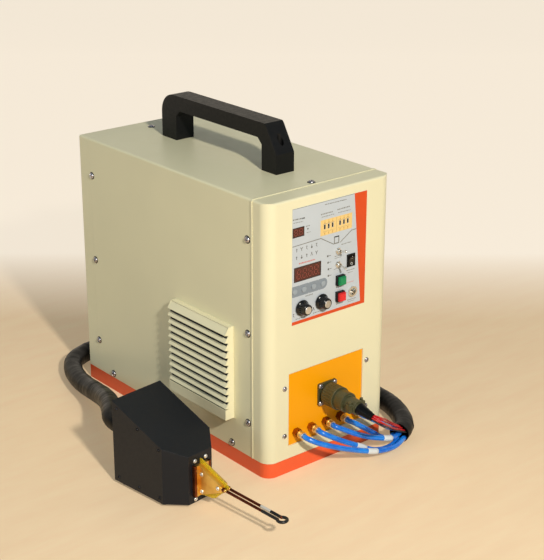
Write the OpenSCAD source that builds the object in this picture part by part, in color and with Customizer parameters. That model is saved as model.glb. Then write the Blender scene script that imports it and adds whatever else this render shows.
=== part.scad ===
/* [Cabinet] */
// Width of the cabinet
case_w = 230; // [220:1:270]
// Depth from the front plane to the rear plane
case_d = 460; // [440:1:540]
// Height of the roof above the floor
case_h = 414; // [404:1:470]
// Height of the base plinth
base_h = 23; // [18:1:28]
// Wall of the base plinth
base_wall = 3; // [2.6:0.1:4]
// Floor sheet of the base plinth
base_floor = 2; // [1.5:0.1:3]
// Height of the lip that the cover is screwed to
lip_h = 15; // [12:1:20]
// Sheet of the wrap-over cover
cover_t = 1.5; // [1:0.1:2]
// Bend radius along the roof edges
bend_r = 3; // [2:0.5:5]
// Depth of the front bezel
bezel_d = 32; // [28:1:40]
// Sheet of the front bezel
bezel_t = 2; // [1.5:0.1:2.5]
// Plan radius of the two front corners
corner_r = 17; // [8:1:20]
// Depth of the rear panel box
rear_d = 27; // [27:1:36]
// Sheet of the rear panel
rear_t = 1.5; // [1.2:0.1:2]
// Length of the flanges that run under the cover
flange_l = 16; // [14:1:22]
// Width of the bead along the front seam
bead_w = 3; // [2:0.5:4]
// Height of the bead above the cover
bead_t = 0.8; // [0.4:0.1:1.2]

/* [Louvre hood] */
// Depth of the hood off the left wall
hood_out = 16; // [12:1:20]
// Length of the hood along the wall
hood_len = 138; // [110:1:160]
// Height of the hood
hood_h = 144; // [130:1:150]
// Height of the hood above the floor
hood_z = 72; // [60:1:90]
// Distance from the front plane to the hood
hood_back = 75; // [60:1:90]
// Sheet of the hood
hood_t = 1.2; // [0.8:0.1:1.6]
// Number of blades
blade_count = 11; // [6:1:11]
// Step from one blade to the next
blade_step = 11.5; // [11:0.1:12]
// Inward lean of a blade
blade_lean = 7; // [5:0.5:8]
// Open gap under a blade's lip
blade_gap = 1.9; // [1.5:0.1:3]

/* [Carrying handle] */
// Length of the handle
handle_l = 276; // [240:1:300]
// Height of the handle above the roof
handle_h = 70; // [60:1:80]
// Width of the handle
handle_w = 33; // [28:1:38]
// Thickness of the grip
grip_t = 23; // [18:1:26]
// Depth of the front leg
leg_front = 33; // [30:1:40]
// Depth of the rear leg
leg_rear = 37; // [34:1:44]
// Height at which the outer faces start to slope
leg_kink = 29; // [22:1:34]
// Facet in the inner top corners
gusset = 9; // [5:1:12]
// Shift of the handle behind the middle of the roof
handle_shift = 7; // [0:1:12]

/* [Front panel] */
// Width of the printed overlay
overlay_w = 138; // [134:1:146]
// Height of the printed overlay
overlay_h = 170.5; // [168:0.5:180]
// Thickness of the printed overlay
overlay_t = 0.4; // [0.2:0.1:0.6]
// Distance from the roof to the overlay
overlay_drop = 14.5; // [10:0.5:18]
// Shift of the overlay and the plate to the left
panel_shift = 2; // [0:0.5:4]
// Width of the small display
small_w = 20.6; // [18:0.2:22]
// Height of the small display
small_h = 13.5; // [11:0.5:15]
// Width of the large display
large_w = 49.2; // [44:0.2:52]
// Height of the large display
large_h = 21.1; // [18:0.1:22]
// Radius of a thumbwheel
wheel_r = 6; // [5:0.1:7]
// Width of a thumbwheel
wheel_w = 2.2; // [1.6:0.1:2.6]
// Step from one thumbwheel to the next
wheel_step = 7.3; // [6.5:0.1:7.6]
// Width of the rocker switch
rocker_w = 15.2; // [13:0.2:17]
// Height of the rocker switch
rocker_h = 18.7; // [18:0.1:21]
// Free length of a toggle lever
toggle_l = 11; // [8:0.5:13]
// Side of a push button housing
button_s = 14.5; // [13:0.5:16]
// Side of a push button cap
cap_s = 12; // [10:0.5:12]
// Travel of a push button
button_travel = 3; // [1.5:0.5:3.5]
// Radius of a round key
key_r = 4; // [3:0.1:4.6]
// Travel of a round key
key_travel = 0.5; // [0.3:0.1:0.6]
// Radius of a knob at its skirt
knob_r = 11.5; // [10:0.5:12]
// Height of a knob
knob_h = 14; // [12:0.5:16]
// Radius of a potentiometer shaft
shaft_r = 3; // [2:0.1:3.2]
// Bore radius of the foot switch socket
foot_bore_r = 5.5; // [4.5:0.1:6]

/* [Connector plate] */
// Distance from the left wall to the window in the bezel
window_left = 39.5; // [36:0.5:42]
// Distance from the right wall to the window in the bezel
window_right = 47.7; // [44:0.1:50]
// Height of the window in the bezel
window_h = 113.3; // [112:0.1:120]
// Height of the window's sill above the floor
window_z = 42.7; // [40:0.1:46]
// Sheet of the connector plate
plate_t = 2; // [1.5:0.1:3]
// Side of the square connector flange
flange_s = 35; // [34:0.5:38]
// Radius of the connector barrel
barrel_r = 13.5; // [12:0.1:14]
// Radius of the coupling ring
ring_r = 17.5; // [17:0.1:18]
// Length of the coupling ring
ring_l = 22; // [18:1:24]
// Across corners radius of a hose fitting's hexagon
fitting_r = 7; // [6:0.1:8]
// Outer diameter of a water hose
hose_d = 8; // [7:0.1:8]
// Outer diameter of a control wire
wire_d = 2.6; // [2:0.1:3]
// Outer diameter of the bundle sleeve
sleeve_d = 32; // [30:1:32]

/* [Work head] */
// Width of the work head
head_w = 91; // [84:1:100]
// Length of the work head
head_l = 129.6; // [120:0.2:140]
// Height of its rear end above the floor
head_h = 130; // [124:1:140]
// Drop of the roof from the rear end to the nose
head_drop = 51; // [44:1:54]
// Width of the nose plate
nose_w = 44; // [40:1:54]
// Length of the tapered front
nose_l = 28; // [20:1:34]
// Sheet of the work head
head_t = 1.5; // [1.2:0.1:2]
// Height of the rubber feet
foot_h = 5; // [4:0.5:6]
// Radius of the cable gland
gland_r = 19; // [17:0.5:20]
// Length of the cable gland outside
gland_l = 20; // [16:0.5:22]
// Height of the cable gland above the floor
gland_z = 62; // [56:1:66]
// Thickness of one terminal plate
terminal_t = 6.5; // [5:0.1:7]
// Thickness of the insulating sheet
insul_t = 1; // [0.6:0.1:1.6]
// Reach of the terminal plates
terminal_l = 46; // [40:1:50]
// Radius of the coil tube
tube_r = 2; // [1.5:0.1:2.2]
// Mean radius of the coil ring
coil_r = 6.5; // [6:0.1:9]
// Distance from the nose to the centre of the coil ring
coil_reach = 155; // [140:1:170]
// Height of the coil ring above the floor
coil_z = 36; // [34:0.5:40]

/* [Rear side] */
// Side of the fan
fan_s = 120; // [110:1:120]
// Depth of the fan
fan_d = 25; // [20:1:25]
// Radius of the fan's hub
hub_r = 20; // [18:0.5:22]
// Number of fan blades
fan_blades = 7; // [5:1:9]
// Width of the circuit breaker
breaker_w = 36; // [34:1:40]
// Height of the circuit breaker
breaker_h = 82; // [76:1:86]
// Radius of a water nozzle's stem
nozzle_r = 5; // [4:0.1:6]
// Length of a water nozzle's stem
nozzle_l = 26; // [22:1:30]
// Bore radius of the mains cable gland
mains_bore_r = 6; // [5:0.1:6.5]
// Radius of the earth stud
stud_r = 3; // [2.5:0.1:4]

/* [Hidden] */
$fn = 64;

// Overrun of every cut
over = 1;
// Gap between a part and the cut-out it passes through
cut_gap = 0.3;
// Short overlap between joined forms
tip_gap = 0.5;
// Thread clearance around a shank
thread_gap = 0.1;
// Radial clearance of a running fit
run_gap = 0.05;
// Small gap that keeps two separate sheets apart
seat_gap = 0.1;

// Planes of the cabinet
front_y = -case_d / 2;
seam_y = front_y + bezel_d;
rear_y = case_d / 2;
rear_seam_y = rear_y - rear_d;
side_x = case_w / 2;
flange_x = side_x - cover_t - seat_gap;
flange_z = case_h - cover_t - seat_gap;
flange_t = base_wall - cover_t - seat_gap;
inner_y = front_y + bezel_t;

// Overlay on the bezel
ov_x0 = -overlay_w / 2 - panel_shift;
ov_x1 = overlay_w / 2 - panel_shift;
ov_z1 = case_h - overlay_drop;
ov_z0 = ov_z1 - overlay_h;
ov_y = front_y - overlay_t;
function ov_x(share) = ov_x0 + share * overlay_w;
function ov_z(share) = ov_z1 - share * overlay_h;

// Places on the overlay, as shares of its width and of its height from the top
small_share = [0.079, 0.204];
large_share = [0.204, 0.566];
wheel_row_share = 0.220;
wheel_group_shares = [0.480, 0.687];
toggle_share = 0.609;
toggle_row_shares = [0.460, 0.578];
rocker_share = [0.791, 0.574];
key_row_share = 0.708;
key_shares = [0.036, 0.158, 0.287, 0.414];
button_share = 0.638;
button_row_shares = [0.7185, 0.862];
socket_share = [0.819, 0.859];
knob_shares = [0.127, 0.391];
knob_row_share = 0.862;

// Places of the cabinet screws, as shares of the cover's height and depth
side_row_shares = [0.137, 0.492, 0.849];
sill_row_shares = [0.121, 0.892];
// Pan head screws
pan_r = 4;
pan_h = 2.2;
pan_shank_r = 1.9;
pan_top_share = 0.72;
pan_shank_l = 7;
pan_edge = 10.5;
pan_rear_edge = 4.5;
sill_screw_z = 7;

// Thumbwheels: how far they stand out of the overlay, and their axle
wheel_out = 0.4;
axle_r = 1;
wheel_pocket = 0.3;
wheel_y = ov_y - wheel_out + wheel_r;
wheel_z = ov_z(wheel_row_share);
wheel_xs = [for (g = wheel_group_shares) for (i = [-1:1]) ov_x(g) + i * wheel_step];
slot_h = 2 * sqrt(pow(wheel_r, 2) - pow(wheel_r - wheel_out - overlay_t, 2)) + 2 * cut_gap;
block_h = 18;
block_side = 5;
block_depth = 2 * wheel_r + 6;
block_x0 = min(wheel_xs) - wheel_w / 2 - block_side;
block_x1 = max(wheel_xs) + wheel_w / 2 + block_side;

// Rim behind the bezel that seats each insert
rim_w = 2;
rim_t = 2;
display_depth = 12;

// Toggle switches
toggle_hole_r = 3;
toggle_nut_r = 5;
toggle_nut_t = 2;
toggle_barrel_l = 6;
toggle_ball_r = 2.2;
toggle_root_r = 0.9;
toggle_tip_r = 1.7;
toggle_can_w = 9;
toggle_can_h = 13;
toggle_can_l = 14;
toggle_up_angle = 16;
toggle_down_angle = -6;
toggle_pivot_y = ov_y - toggle_barrel_l + toggle_ball_r;

// Rocker switch
rocker_rim = 1.6;
rocker_rim_t = 1.5;
rocker_pin_r = 1.2;
rocker_tilt = 8;
rocker_depth = 5;
rocker_can_l = 20;
rocker_wall = 1;

// Push buttons and keys
button_out = 5;
cap_out = 9;
button_can_l = 24;
button_wall = 1.2;
key_out = 0.8;
key_body_l = 6;
strip_h = 16;
strip_l = 65;

// Knobs and potentiometers
knob_tip_r = 8;
knob_gap = 0.6;
knob_skirt = 5;
knob_cap_t = 0.8;
bush_r = 4.5;
bush_l = 3;
pot_r = 8;
pot_l = 10;
pot_pin_l = 7;

// Connector plate and its window
win_x0 = window_left - side_x;
win_x1 = side_x - window_right;
window_w = win_x1 - win_x0;
fitting_share = 0.196;
fitting_step = fitting_share * window_w;
plate_edge = 16;
plate_y = inner_y;
connector_x = -2;
connector_z_share = 0.559;
connector_z = window_z + connector_z_share * window_h;
fitting_z_share = 0.153;
fitting_z = window_z + fitting_z_share * window_h;
fitting_x0 = (win_x0 + win_x1) / 2;
fitting_xs = [for (i = [-2:2]) fitting_x0 + i * fitting_step];
plate_screw_out = 7.6;
plate_screw_shares = [0.82, 0.16];

// Round-cornered plan of the plinth and the bezel
module front_plan(w, y0, y1, r) {
    translate([-w / 2, y0 + r]) square([w, y1 - y0 - r]);
    translate([r - w / 2, y0]) square([w - 2 * r, r + over]);
    for (s = [-1, 1]) translate([s * (w / 2 - r), y0 + r]) circle(r);
}

// Section of the cabinet across its width, with bent roof edges
module roof_section(w, z0, z1, r) {
    translate([-w / 2, z0]) square([w, z1 - z0 - r]);
    translate([r - w / 2, z0]) square([w - 2 * r, z1 - z0]);
    for (s = [-1, 1]) translate([s * (w / 2 - r), z1 - r]) circle(r);
}

// A section drawn in x and z, run along y from y0 to y1
module along_y(y0, y1) {
    translate([0, y1, 0]) rotate([90, 0, 0]) linear_extrude(y1 - y0) children();
}

// A section drawn in y and z, run along x from x0 to x1
module along_x(x0, x1) {
    translate([x0, 0, 0]) rotate([90, 0, 90]) linear_extrude(x1 - x0) children();
}

// A cylinder along y
module rod_y(r, y0, y1) {
    translate([0, y1, 0]) rotate([90, 0, 0]) cylinder(h = y1 - y0, r = r);
}

// A cylinder along x
module rod_x(r, x0, x1) {
    translate([x0, 0, 0]) rotate([0, 90, 0]) cylinder(h = x1 - x0, r = r);
}

// A block between two corners
module block(a, b) {
    translate(a) cube(b - a);
}

// Pan head screw, its head out along z and its shank below
module pan_screw(shank) {
    cylinder(h = pan_h, r1 = pan_r, r2 = pan_r * pan_top_share);
    translate([0, 0, -shank]) cylinder(h = shank + tip_gap, r = pan_shank_r);
}

// Points of an arc in a plane
function arc(c, r, a0, a1, n) = [for (i = [0:n])
    c + r * [cos(a0 + (a1 - a0) * i / n), sin(a0 + (a1 - a0) * i / n)]];

function unit(v) = v / norm(v);

// Closed tube swept along hand-chosen points, square to d0 at its start and to d1 at its end
module tube(p, r, sides, d0, d1) {
    n = len(p);
    t = [for (i = [0:n - 1]) i == 0 ? unit(d0) : i == n - 1 ? unit(d1)
        : unit(unit(p[i + 1] - p[i]) + unit(p[i] - p[i - 1]))];
    pts = [for (i = [0:n - 1]) let (u = unit(cross(t[i], [0, 0, 1])), v = cross(u, t[i]))
        for (k = [0:sides - 1]) p[i] + r * (cos(360 * k / sides) * u + sin(360 * k / sides) * v)];
    polyhedron(pts, concat(
        [[for (k = [sides - 1:-1:0]) k]],
        [for (i = [0:n - 2]) for (k = [0:sides - 1])
            [i * sides + k, i * sides + (k + 1) % sides, (i + 1) * sides + (k + 1) % sides]],
        [for (i = [0:n - 2]) for (k = [0:sides - 1])
            [i * sides + k, (i + 1) * sides + (k + 1) % sides, (i + 1) * sides + k]],
        [[for (k = [0:sides - 1]) (n - 1) * sides + k]]));
}

// Places of the screws on one side wall, as y and z
side_screws = concat(
    [for (s = side_row_shares) for (y = [seam_y + pan_edge, rear_seam_y - pan_rear_edge])
        [y, base_h + s * (case_h - base_h)]],
    [for (s = sill_row_shares) [seam_y + s * (rear_seam_y - seam_y), base_h + sill_screw_z]]);
// Places of the screws on the roof, as y
roof_screws = [seam_y + pan_edge, rear_seam_y - pan_rear_edge];

// Clearance holes or screw holes at every cabinet screw
module side_holes(r) {
    for (s = [-1, 1]) for (p = side_screws)
        translate([s * side_x, p[0], p[1]]) rod_x(r, -pan_shank_l - over, pan_shank_l + over);
    for (y = roof_screws) translate([0, y, case_h - pan_shank_l - over])
        cylinder(h = pan_shank_l + 2 * over, r = r);
}

module base_tray() color([1, 0.39, 0.2]) difference() {
    union() {
        difference() {
            linear_extrude(base_h) front_plan(case_w, front_y, rear_y, corner_r);
            translate([0, 0, base_floor]) linear_extrude(base_h)
                front_plan(case_w - 2 * base_wall, front_y + base_wall, rear_y - base_wall,
                    corner_r - base_wall);
        }
        for (s = [-1, 1]) translate([s * (flange_x - flange_t / 2) - flange_t / 2, 0, 0])
            block([0, seam_y + flange_l + over, base_h - base_wall],
                [flange_t, rear_seam_y - flange_l - over, base_h + lip_h]);
    }
    side_holes(pan_shank_r);
}

module side_cover() color([0.94, 0.9, 0.72]) difference() {
    union() {
        along_y(seam_y, rear_seam_y) roof_section(case_w, base_h, case_h, bend_r);
        along_y(seam_y, seam_y + bead_w)
            roof_section(case_w + 2 * bead_t, base_h, case_h + bead_t, bend_r + bead_t);
    }
    along_y(seam_y - over, rear_seam_y + over)
        roof_section(case_w - 2 * cover_t, base_h - over, case_h - cover_t, bend_r - cover_t);
    side_holes(pan_shank_r + cut_gap);
    for (y = handle_bores) translate([0, y, case_h - cover_t - over])
        cylinder(h = cover_t + 2 * over, r = grip_screw_r + cut_gap);
    block([-side_x - over, front_y + hood_back + vent_rim, hood_z + vent_rim],
        [-side_x + cover_t + over, front_y + hood_back + hood_len - vent_rim,
        hood_z + hood_h - vent_rim]);
}
// Rim of the cover inside the hood's outline
vent_rim = 6;

module front_bezel() color([0.94, 0.9, 0.72]) difference() {
    union() {
        difference() {
            bezel_body(case_w, front_y, case_h, corner_r, bend_r);
            bezel_body(case_w - 2 * bezel_t, inner_y, case_h - bezel_t, corner_r - bezel_t,
                bend_r / 2);
            along_y(seam_y - over, seam_y + 2 * over)
                roof_section(case_w - 2 * bezel_t, base_h - over, case_h - bezel_t, bend_r / 2);
        }
        seam_flange(seam_y - bezel_t, seam_y + flange_l, 2 * bezel_t);
    }
    panel_cuts(front_y - over, inner_y + over, cut_gap, true);
    block([win_x0, front_y - over, window_z], [win_x1, inner_y + over, window_z + window_h]);
    for (p = plate_screws) translate([p[0], 0, p[1]])
        rod_y(pan_shank_r + cut_gap, front_y - over, inner_y + over);
    side_holes(pan_shank_r);
}

// Outer form of the bezel: rounded front corners, bent roof edges, eased front edge
module bezel_body(w, y0, z1, rc, rb) {
    intersection() {
        translate([0, 0, base_h]) linear_extrude(z1 - base_h)
            front_plan(w, y0, seam_y, rc);
        along_y(y0 - over, seam_y + over) roof_section(w, base_h, z1, rb);
        along_x(-w, w) {
            translate([y0, base_h]) square([seam_y - y0, z1 - base_h - rb]);
            translate([y0 + rb, base_h]) square([seam_y - y0 - rb, z1 - base_h]);
            translate([y0 + rb, z1 - rb]) circle(rb);
        }
    }
}

// Flange that runs under the cover along both walls and the roof
module seam_flange(y0, y1, gap) {
    difference() {
        along_y(y0, y1) roof_section(2 * flange_x, base_h, flange_z, bend_r - cover_t);
        along_y(y0 - over, y1 + over)
            roof_section(2 * (flange_x - flange_t), base_h - over, flange_z - flange_t, tip_gap);
    }
}

module rear_panel() color([0.94, 0.9, 0.72]) difference() {
    union() {
        difference() {
            along_y(rear_seam_y, rear_y) roof_section(case_w, base_h, case_h, bend_r);
            along_y(rear_seam_y - over, rear_y - rear_t)
                roof_section(case_w - 2 * flange_lap, base_h - over, case_h - flange_lap, over);
        }
        seam_flange(rear_seam_y - flange_l, rear_seam_y + flange_lap, 0);
        earth_stud();
    }
    translate([fan_x, 0, fan_z]) vent_cuts();
    block([breaker_x - breaker_w / 2 - cut_gap, rear_y - rear_t - over, breaker_z - breaker_face],
        [breaker_x + breaker_w / 2 + cut_gap, rear_y + over, breaker_z + breaker_face]);
    for (x = nozzle_xs) translate([x, 0, port_z])
        rod_y(nozzle_r + cut_gap, rear_y - rear_t - over, rear_y + over);
    translate([mains_x, 0, port_z])
        rod_y(mains_thread_r + cut_gap, rear_y - rear_t - over, rear_y + over);
    side_holes(pan_shank_r);
    for (x = [-1, 1]) for (z = [-1, 1])
        translate([fan_x + x * fan_hole, 0, fan_z + z * fan_hole])
            rod_y(pan_shank_r + cut_gap, rear_y - rear_t - over, rear_y + over);
}
// Overlap of the rear box with its flange
flange_lap = 3;

// Slots in front of the fan, within a round field
module vent_cuts() {
    for (i = [-vent_rows:vent_rows]) {
        half = sqrt(pow(fan_s / 2 - vent_edge, 2) - pow(i * vent_step, 2));
        block([-half, rear_y - rear_t - over, i * vent_step - vent_slot / 2],
            [half, rear_y + over, i * vent_step + vent_slot / 2]);
    }
}
vent_rows = 5;
vent_step = 9;
vent_slot = 4;
vent_edge = 8;

// Front edge of the hood's cheeks, as x and z from the wall and the hood's foot
function hood_lip(i) = hood_h - hood_top - i * blade_step;
hood_top = 11;
function hood_teeth() = concat([[0, 0], [-hood_out, 0], [-hood_out, hood_band]],
    [for (i = [blade_count - 1:-1:0])
        each [[blade_lean - hood_out, max(hood_lip(i) - blade_gap, hood_band)],
            [-hood_out, hood_lip(i)]]],
    [[blade_lean - hood_out, hood_h], [0, hood_h]]);
hood_band = 16;

module louvre_hood() color([0.94, 0.9, 0.72])
    translate([-side_x, front_y + hood_back, hood_z]) {
        for (y = [0, hood_len - hood_t]) along_y(y, y + hood_t) polygon(hood_teeth());
        along_y(0, hood_len) {
            translate([-hood_out, 0]) square([hood_t, hood_band]);
            translate([-hood_out, 0]) square([hood_out, hood_t]);
            translate([blade_lean - hood_out, hood_h - hood_t])
                square([hood_out - blade_lean, hood_t]);
            for (i = [0:blade_count - 1]) translate([0, hood_lip(i)])
                polygon([[-hood_out, 0], [blade_lean - hood_out, blade_rise],
                    [blade_lean - hood_out + hood_t, blade_rise], [-hood_out + hood_t, 0]]);
        }
    }
blade_rise = min(hood_top, blade_step - blade_gap);

// Side outline of the handle, as y and z from the front foot
function handle_outline() = concat(
    [[0, 0], [0, leg_kink], [handle_slope, handle_h - handle_ease],
        [handle_slope + handle_ease, handle_h]],
    arc([handle_l - handle_arc, handle_h - handle_arc], handle_arc, 90, 0, 10),
    [[handle_l, 0], [handle_l - leg_rear, 0],
        [handle_l - leg_rear, handle_h - grip_t - gusset],
        [handle_l - leg_rear - gusset, handle_h - grip_t],
        [leg_front + gusset, handle_h - grip_t],
        [leg_front, handle_h - grip_t - gusset], [leg_front, 0]]);
handle_slope = 23;
handle_ease = 3;
handle_arc = 30;
handle_y = handle_shift - handle_l / 2;
// Screws of the handle, down through each leg into the roof
grip_screw_r = 2.5;
grip_head_r = 4.5;
grip_head_h = 3;
grip_seat_h = 14;
grip_screw_in = 11;
handle_bores = [handle_y + grip_screw_in, handle_y + handle_l - grip_screw_in];

module carry_handle() color([0.12, 0.12, 0.13]) difference() {
    translate([0, handle_y, case_h]) along_x(-handle_w / 2, handle_w / 2)
        polygon(handle_outline());
    for (y = handle_bores) translate([0, y, case_h]) {
        translate([0, 0, grip_seat_h]) cylinder(h = handle_h, r = grip_head_r + cut_gap);
        translate([0, 0, -over]) cylinder(h = grip_seat_h + 2 * over, r = grip_screw_r + cut_gap);
    }
}

module handle_screws() color([0.75, 0.76, 0.78])
    for (y = handle_bores) translate([0, y, case_h]) {
        translate([0, 0, grip_seat_h]) cylinder(h = grip_head_h, r = grip_head_r);
        translate([0, 0, -cover_t - grip_nut_t - over])
            cylinder(h = grip_seat_h + cover_t + grip_nut_t + 2 * over, r = grip_screw_r);
        translate([0, 0, -cover_t - grip_nut_t]) cylinder(h = grip_nut_t, r = grip_nut_r, $fn = 6);
    }
grip_nut_t = 4;
grip_nut_r = 4.6;

// Screws at the four corners of the connector plate, as x and z
plate_screws = [for (x = [win_x0 - plate_screw_out, win_x1 + plate_screw_out])
    for (s = plate_screw_shares) [x, window_z + s * window_h]];

module cover_screws() color([0.78, 0.79, 0.8]) {
    for (s = [-1, 1]) for (p = side_screws)
        translate([s * side_x, p[0], p[1]]) rotate([0, s * 90, 0]) pan_screw(pan_shank_l);
    for (y = roof_screws) translate([0, y, case_h]) pan_screw(pan_shank_l);
    for (p = plate_screws) translate([p[0], front_y, p[1]]) rotate([90, 0, 0])
        pan_screw(bezel_t + plate_t + over);
    for (x = [-1, 1]) for (z = [-1, 1])
        translate([fan_x + x * fan_hole, rear_y, fan_z + z * fan_hole])
            rotate([-90, 0, 0]) pan_screw(pan_shank_l);
    for (x = [-1, 1]) for (z = [-1, 1])
        translate([connector_x + x * flange_hole, plate_y - flange_t2, connector_z + z * flange_hole])
            rotate([90, 0, 0]) pan_screw(flange_t2 + plate_t + over);
}
// Screw pitch and sheet of the connector flange
flange_hole = 13.5;
flange_t2 = 3;

// Every cut-out of the front panel; the overlay has slots where the bezel has the block's window
module panel_cuts(y0, y1, gap, in_bezel) {
    box_cut(small_share, small_w + 2 * gap, small_h + 2 * gap, y0, y1);
    box_cut(large_share, large_w + 2 * gap, large_h + 2 * gap, y0, y1);
    box_cut(rocker_share, rocker_w - 2 * rocker_rim + 2 * gap, rocker_h - 2 * rocker_rim + 2 * gap,
        y0, y1);
    for (s = button_row_shares)
        box_cut([button_share, s], button_in + 2 * gap, button_in + 2 * gap, y0, y1);
    for (s = toggle_row_shares) pin_cut([toggle_share, s], toggle_hole_r + gap, y0, y1);
    for (s = key_shares) pin_cut([s, key_row_share], key_r + gap, y0, y1);
    for (s = knob_shares) pin_cut([s, knob_row_share], bush_r + gap, y0, y1);
    pin_cut(socket_share, foot_barrel_r + gap, y0, y1);
    if (in_bezel) block([block_x0 - gap, y0, wheel_z - block_h / 2 - gap],
        [block_x1 + gap, y1, wheel_z + block_h / 2 + gap]);
    else for (x = wheel_xs) block([x - wheel_w / 2 - gap, y0, wheel_z - slot_h / 2],
        [x + wheel_w / 2 + gap, y1, wheel_z + slot_h / 2]);
}

module box_cut(share, w, h, y0, y1) {
    translate([ov_x(share[0]), 0, ov_z(share[1])]) block([-w / 2, y0, -h / 2], [w / 2, y1, h / 2]);
}

module pin_cut(share, r, y0, y1) {
    translate([ov_x(share[0]), 0, ov_z(share[1])]) rod_y(r, y0, y1);
}

module panel_overlay() color([0.84, 0.84, 0.82]) difference() {
    block([ov_x0, ov_y, ov_z0], [ov_x1, front_y, ov_z1]);
    panel_cuts(ov_y - over, front_y + over, cut_gap, false);
}

module connector_plate() color([1, 0.67, 0]) difference() {
    block([win_x0 - plate_edge, plate_y, window_z - plate_edge / 2],
        [win_x1 + plate_edge, plate_y + plate_t, window_z + window_h + plate_edge / 2]);
    for (p = plate_screws) translate([p[0], 0, p[1]])
        rod_y(pan_shank_r + thread_gap, plate_y - over, plate_y + over + plate_t);
    translate([connector_x, 0, connector_z]) {
        rod_y(barrel_r + cut_gap, plate_y - over, plate_y + over + plate_t);
        for (x = [-1, 1]) for (z = [-1, 1]) translate([x * flange_hole, 0, z * flange_hole])
            rod_y(pan_shank_r, plate_y - over, plate_y + over + plate_t);
    }
    for (x = fitting_xs) translate([x, 0, fitting_z])
        rod_y(fitting_stem_r + cut_gap, plate_y - over, plate_y + over + plate_t);
}

// Display: window flush with the overlay, rim and case behind the bezel
module display(share, w, h) {
    translate([ov_x(share[0]), 0, ov_z(share[1])]) {
        block([-w / 2, ov_y, -h / 2], [w / 2, inner_y + display_depth, h / 2]);
        block([-w / 2 - rim_w, inner_y, -h / 2 - rim_w], [w / 2 + rim_w, inner_y + rim_t, h / 2 + rim_w]);
    }
}

module display_small() color([0.25, 0.05, 0.05]) display(small_share, small_w, small_h);

module display_large() color([0.35, 0.04, 0.05]) display(large_share, large_w, large_h);

module wheel_block() color([0.08, 0.08, 0.09]) {
    difference() {
        union() {
            block([block_x0, front_y, wheel_z - block_h / 2],
                [block_x1, front_y + block_depth, wheel_z + block_h / 2]);
            block([block_x0 - rim_w, inner_y, wheel_z - block_h / 2 - rim_w],
                [block_x1 + rim_w, inner_y + rim_t, wheel_z + block_h / 2 + rim_w]);
        }
        for (x = wheel_xs) translate([0, wheel_y, wheel_z])
            rod_x(wheel_r + cut_gap, x - wheel_w / 2 - wheel_pocket, x + wheel_w / 2 + wheel_pocket);
    }
    translate([0, wheel_y, wheel_z]) rod_x(axle_r, block_x0 + over, block_x1 - over);
}

// Thumbwheel with finger ridges, its bore on the block's axle
module thumbwheel(i) color([0.12, 0.12, 0.13]) translate([wheel_xs[i], wheel_y, wheel_z]) difference() {
    rod_x(wheel_r, -wheel_w / 2, wheel_w / 2);
    rod_x(axle_r + run_gap, -wheel_w, wheel_w);
    for (k = [0:wheel_teeth - 1]) rotate([360 * (k + 0.5) / wheel_teeth, 0, 0])
        translate([0, 0, wheel_r + wheel_notch / 2]) rod_x(wheel_notch, -wheel_w, wheel_w);
}
wheel_teeth = 10;
wheel_notch = 0.7;

module thumbwheel_1() thumbwheel(0);
module thumbwheel_2() thumbwheel(1);
module thumbwheel_3() thumbwheel(2);
module thumbwheel_4() thumbwheel(3);
module thumbwheel_5() thumbwheel(4);
module thumbwheel_6() thumbwheel(5);

module toggle_bodies() color([0.72, 0.72, 0.7])
    for (s = toggle_row_shares) translate([ov_x(toggle_share), 0, ov_z(s)]) difference() {
        union() {
            rod_y(toggle_hole_r, ov_y - toggle_barrel_l, inner_y + over);
            translate([0, ov_y, 0]) rotate([90, 0, 0])
                cylinder(h = toggle_nut_t, r = toggle_nut_r, $fn = 6);
            block([-toggle_can_w / 2, inner_y, -toggle_can_h / 2],
                [toggle_can_w / 2, inner_y + toggle_can_l, toggle_can_h / 2]);
        }
        rod_y(toggle_ball_r + run_gap, ov_y - toggle_barrel_l - over,
            toggle_pivot_y + toggle_ball_r + cut_gap);
    }

// Lever: ball in the barrel, arm growing towards a round tip
module toggle_lever(share, tilt) color([0.8, 0.8, 0.8])
    translate([ov_x(toggle_share), toggle_pivot_y, ov_z(share)]) rotate([-tilt, 0, 0]) {
        sphere(toggle_ball_r);
        rotate([90, 0, 0]) cylinder(h = toggle_ball_r + toggle_l, r1 = toggle_root_r, r2 = toggle_tip_r);
        translate([0, -toggle_ball_r - toggle_l, 0]) sphere(toggle_tip_r);
    }
module toggle_upper() toggle_lever(toggle_row_shares[0], toggle_up_angle);
module toggle_lower() toggle_lever(toggle_row_shares[1], toggle_down_angle);

rocker_in_w = rocker_w - 2 * rocker_rim - 2 * rocker_wall;
rocker_in_h = rocker_h - 2 * rocker_rim - 2 * rocker_wall;

module rocker_frame() color([0.06, 0.06, 0.06])
    translate([ov_x(rocker_share[0]), 0, ov_z(rocker_share[1])]) {
        difference() {
            union() {
                block([-rocker_w / 2, ov_y - rocker_rim_t, -rocker_h / 2],
                    [rocker_w / 2, ov_y, rocker_h / 2]);
                block([rocker_rim - rocker_w / 2, ov_y - over, rocker_rim - rocker_h / 2],
                    [rocker_w / 2 - rocker_rim, inner_y + rocker_can_l, rocker_h / 2 - rocker_rim]);
            }
            block([-rocker_in_w / 2, ov_y - rocker_rim_t - over, -rocker_in_h / 2],
                [rocker_in_w / 2, ov_y + rocker_depth, rocker_in_h / 2]);
        }
        translate([0, ov_y, 0])
            rod_x(rocker_pin_r, -rocker_in_w / 2 - rocker_wall / 2, rocker_in_w / 2 + rocker_wall / 2);
    }

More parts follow.
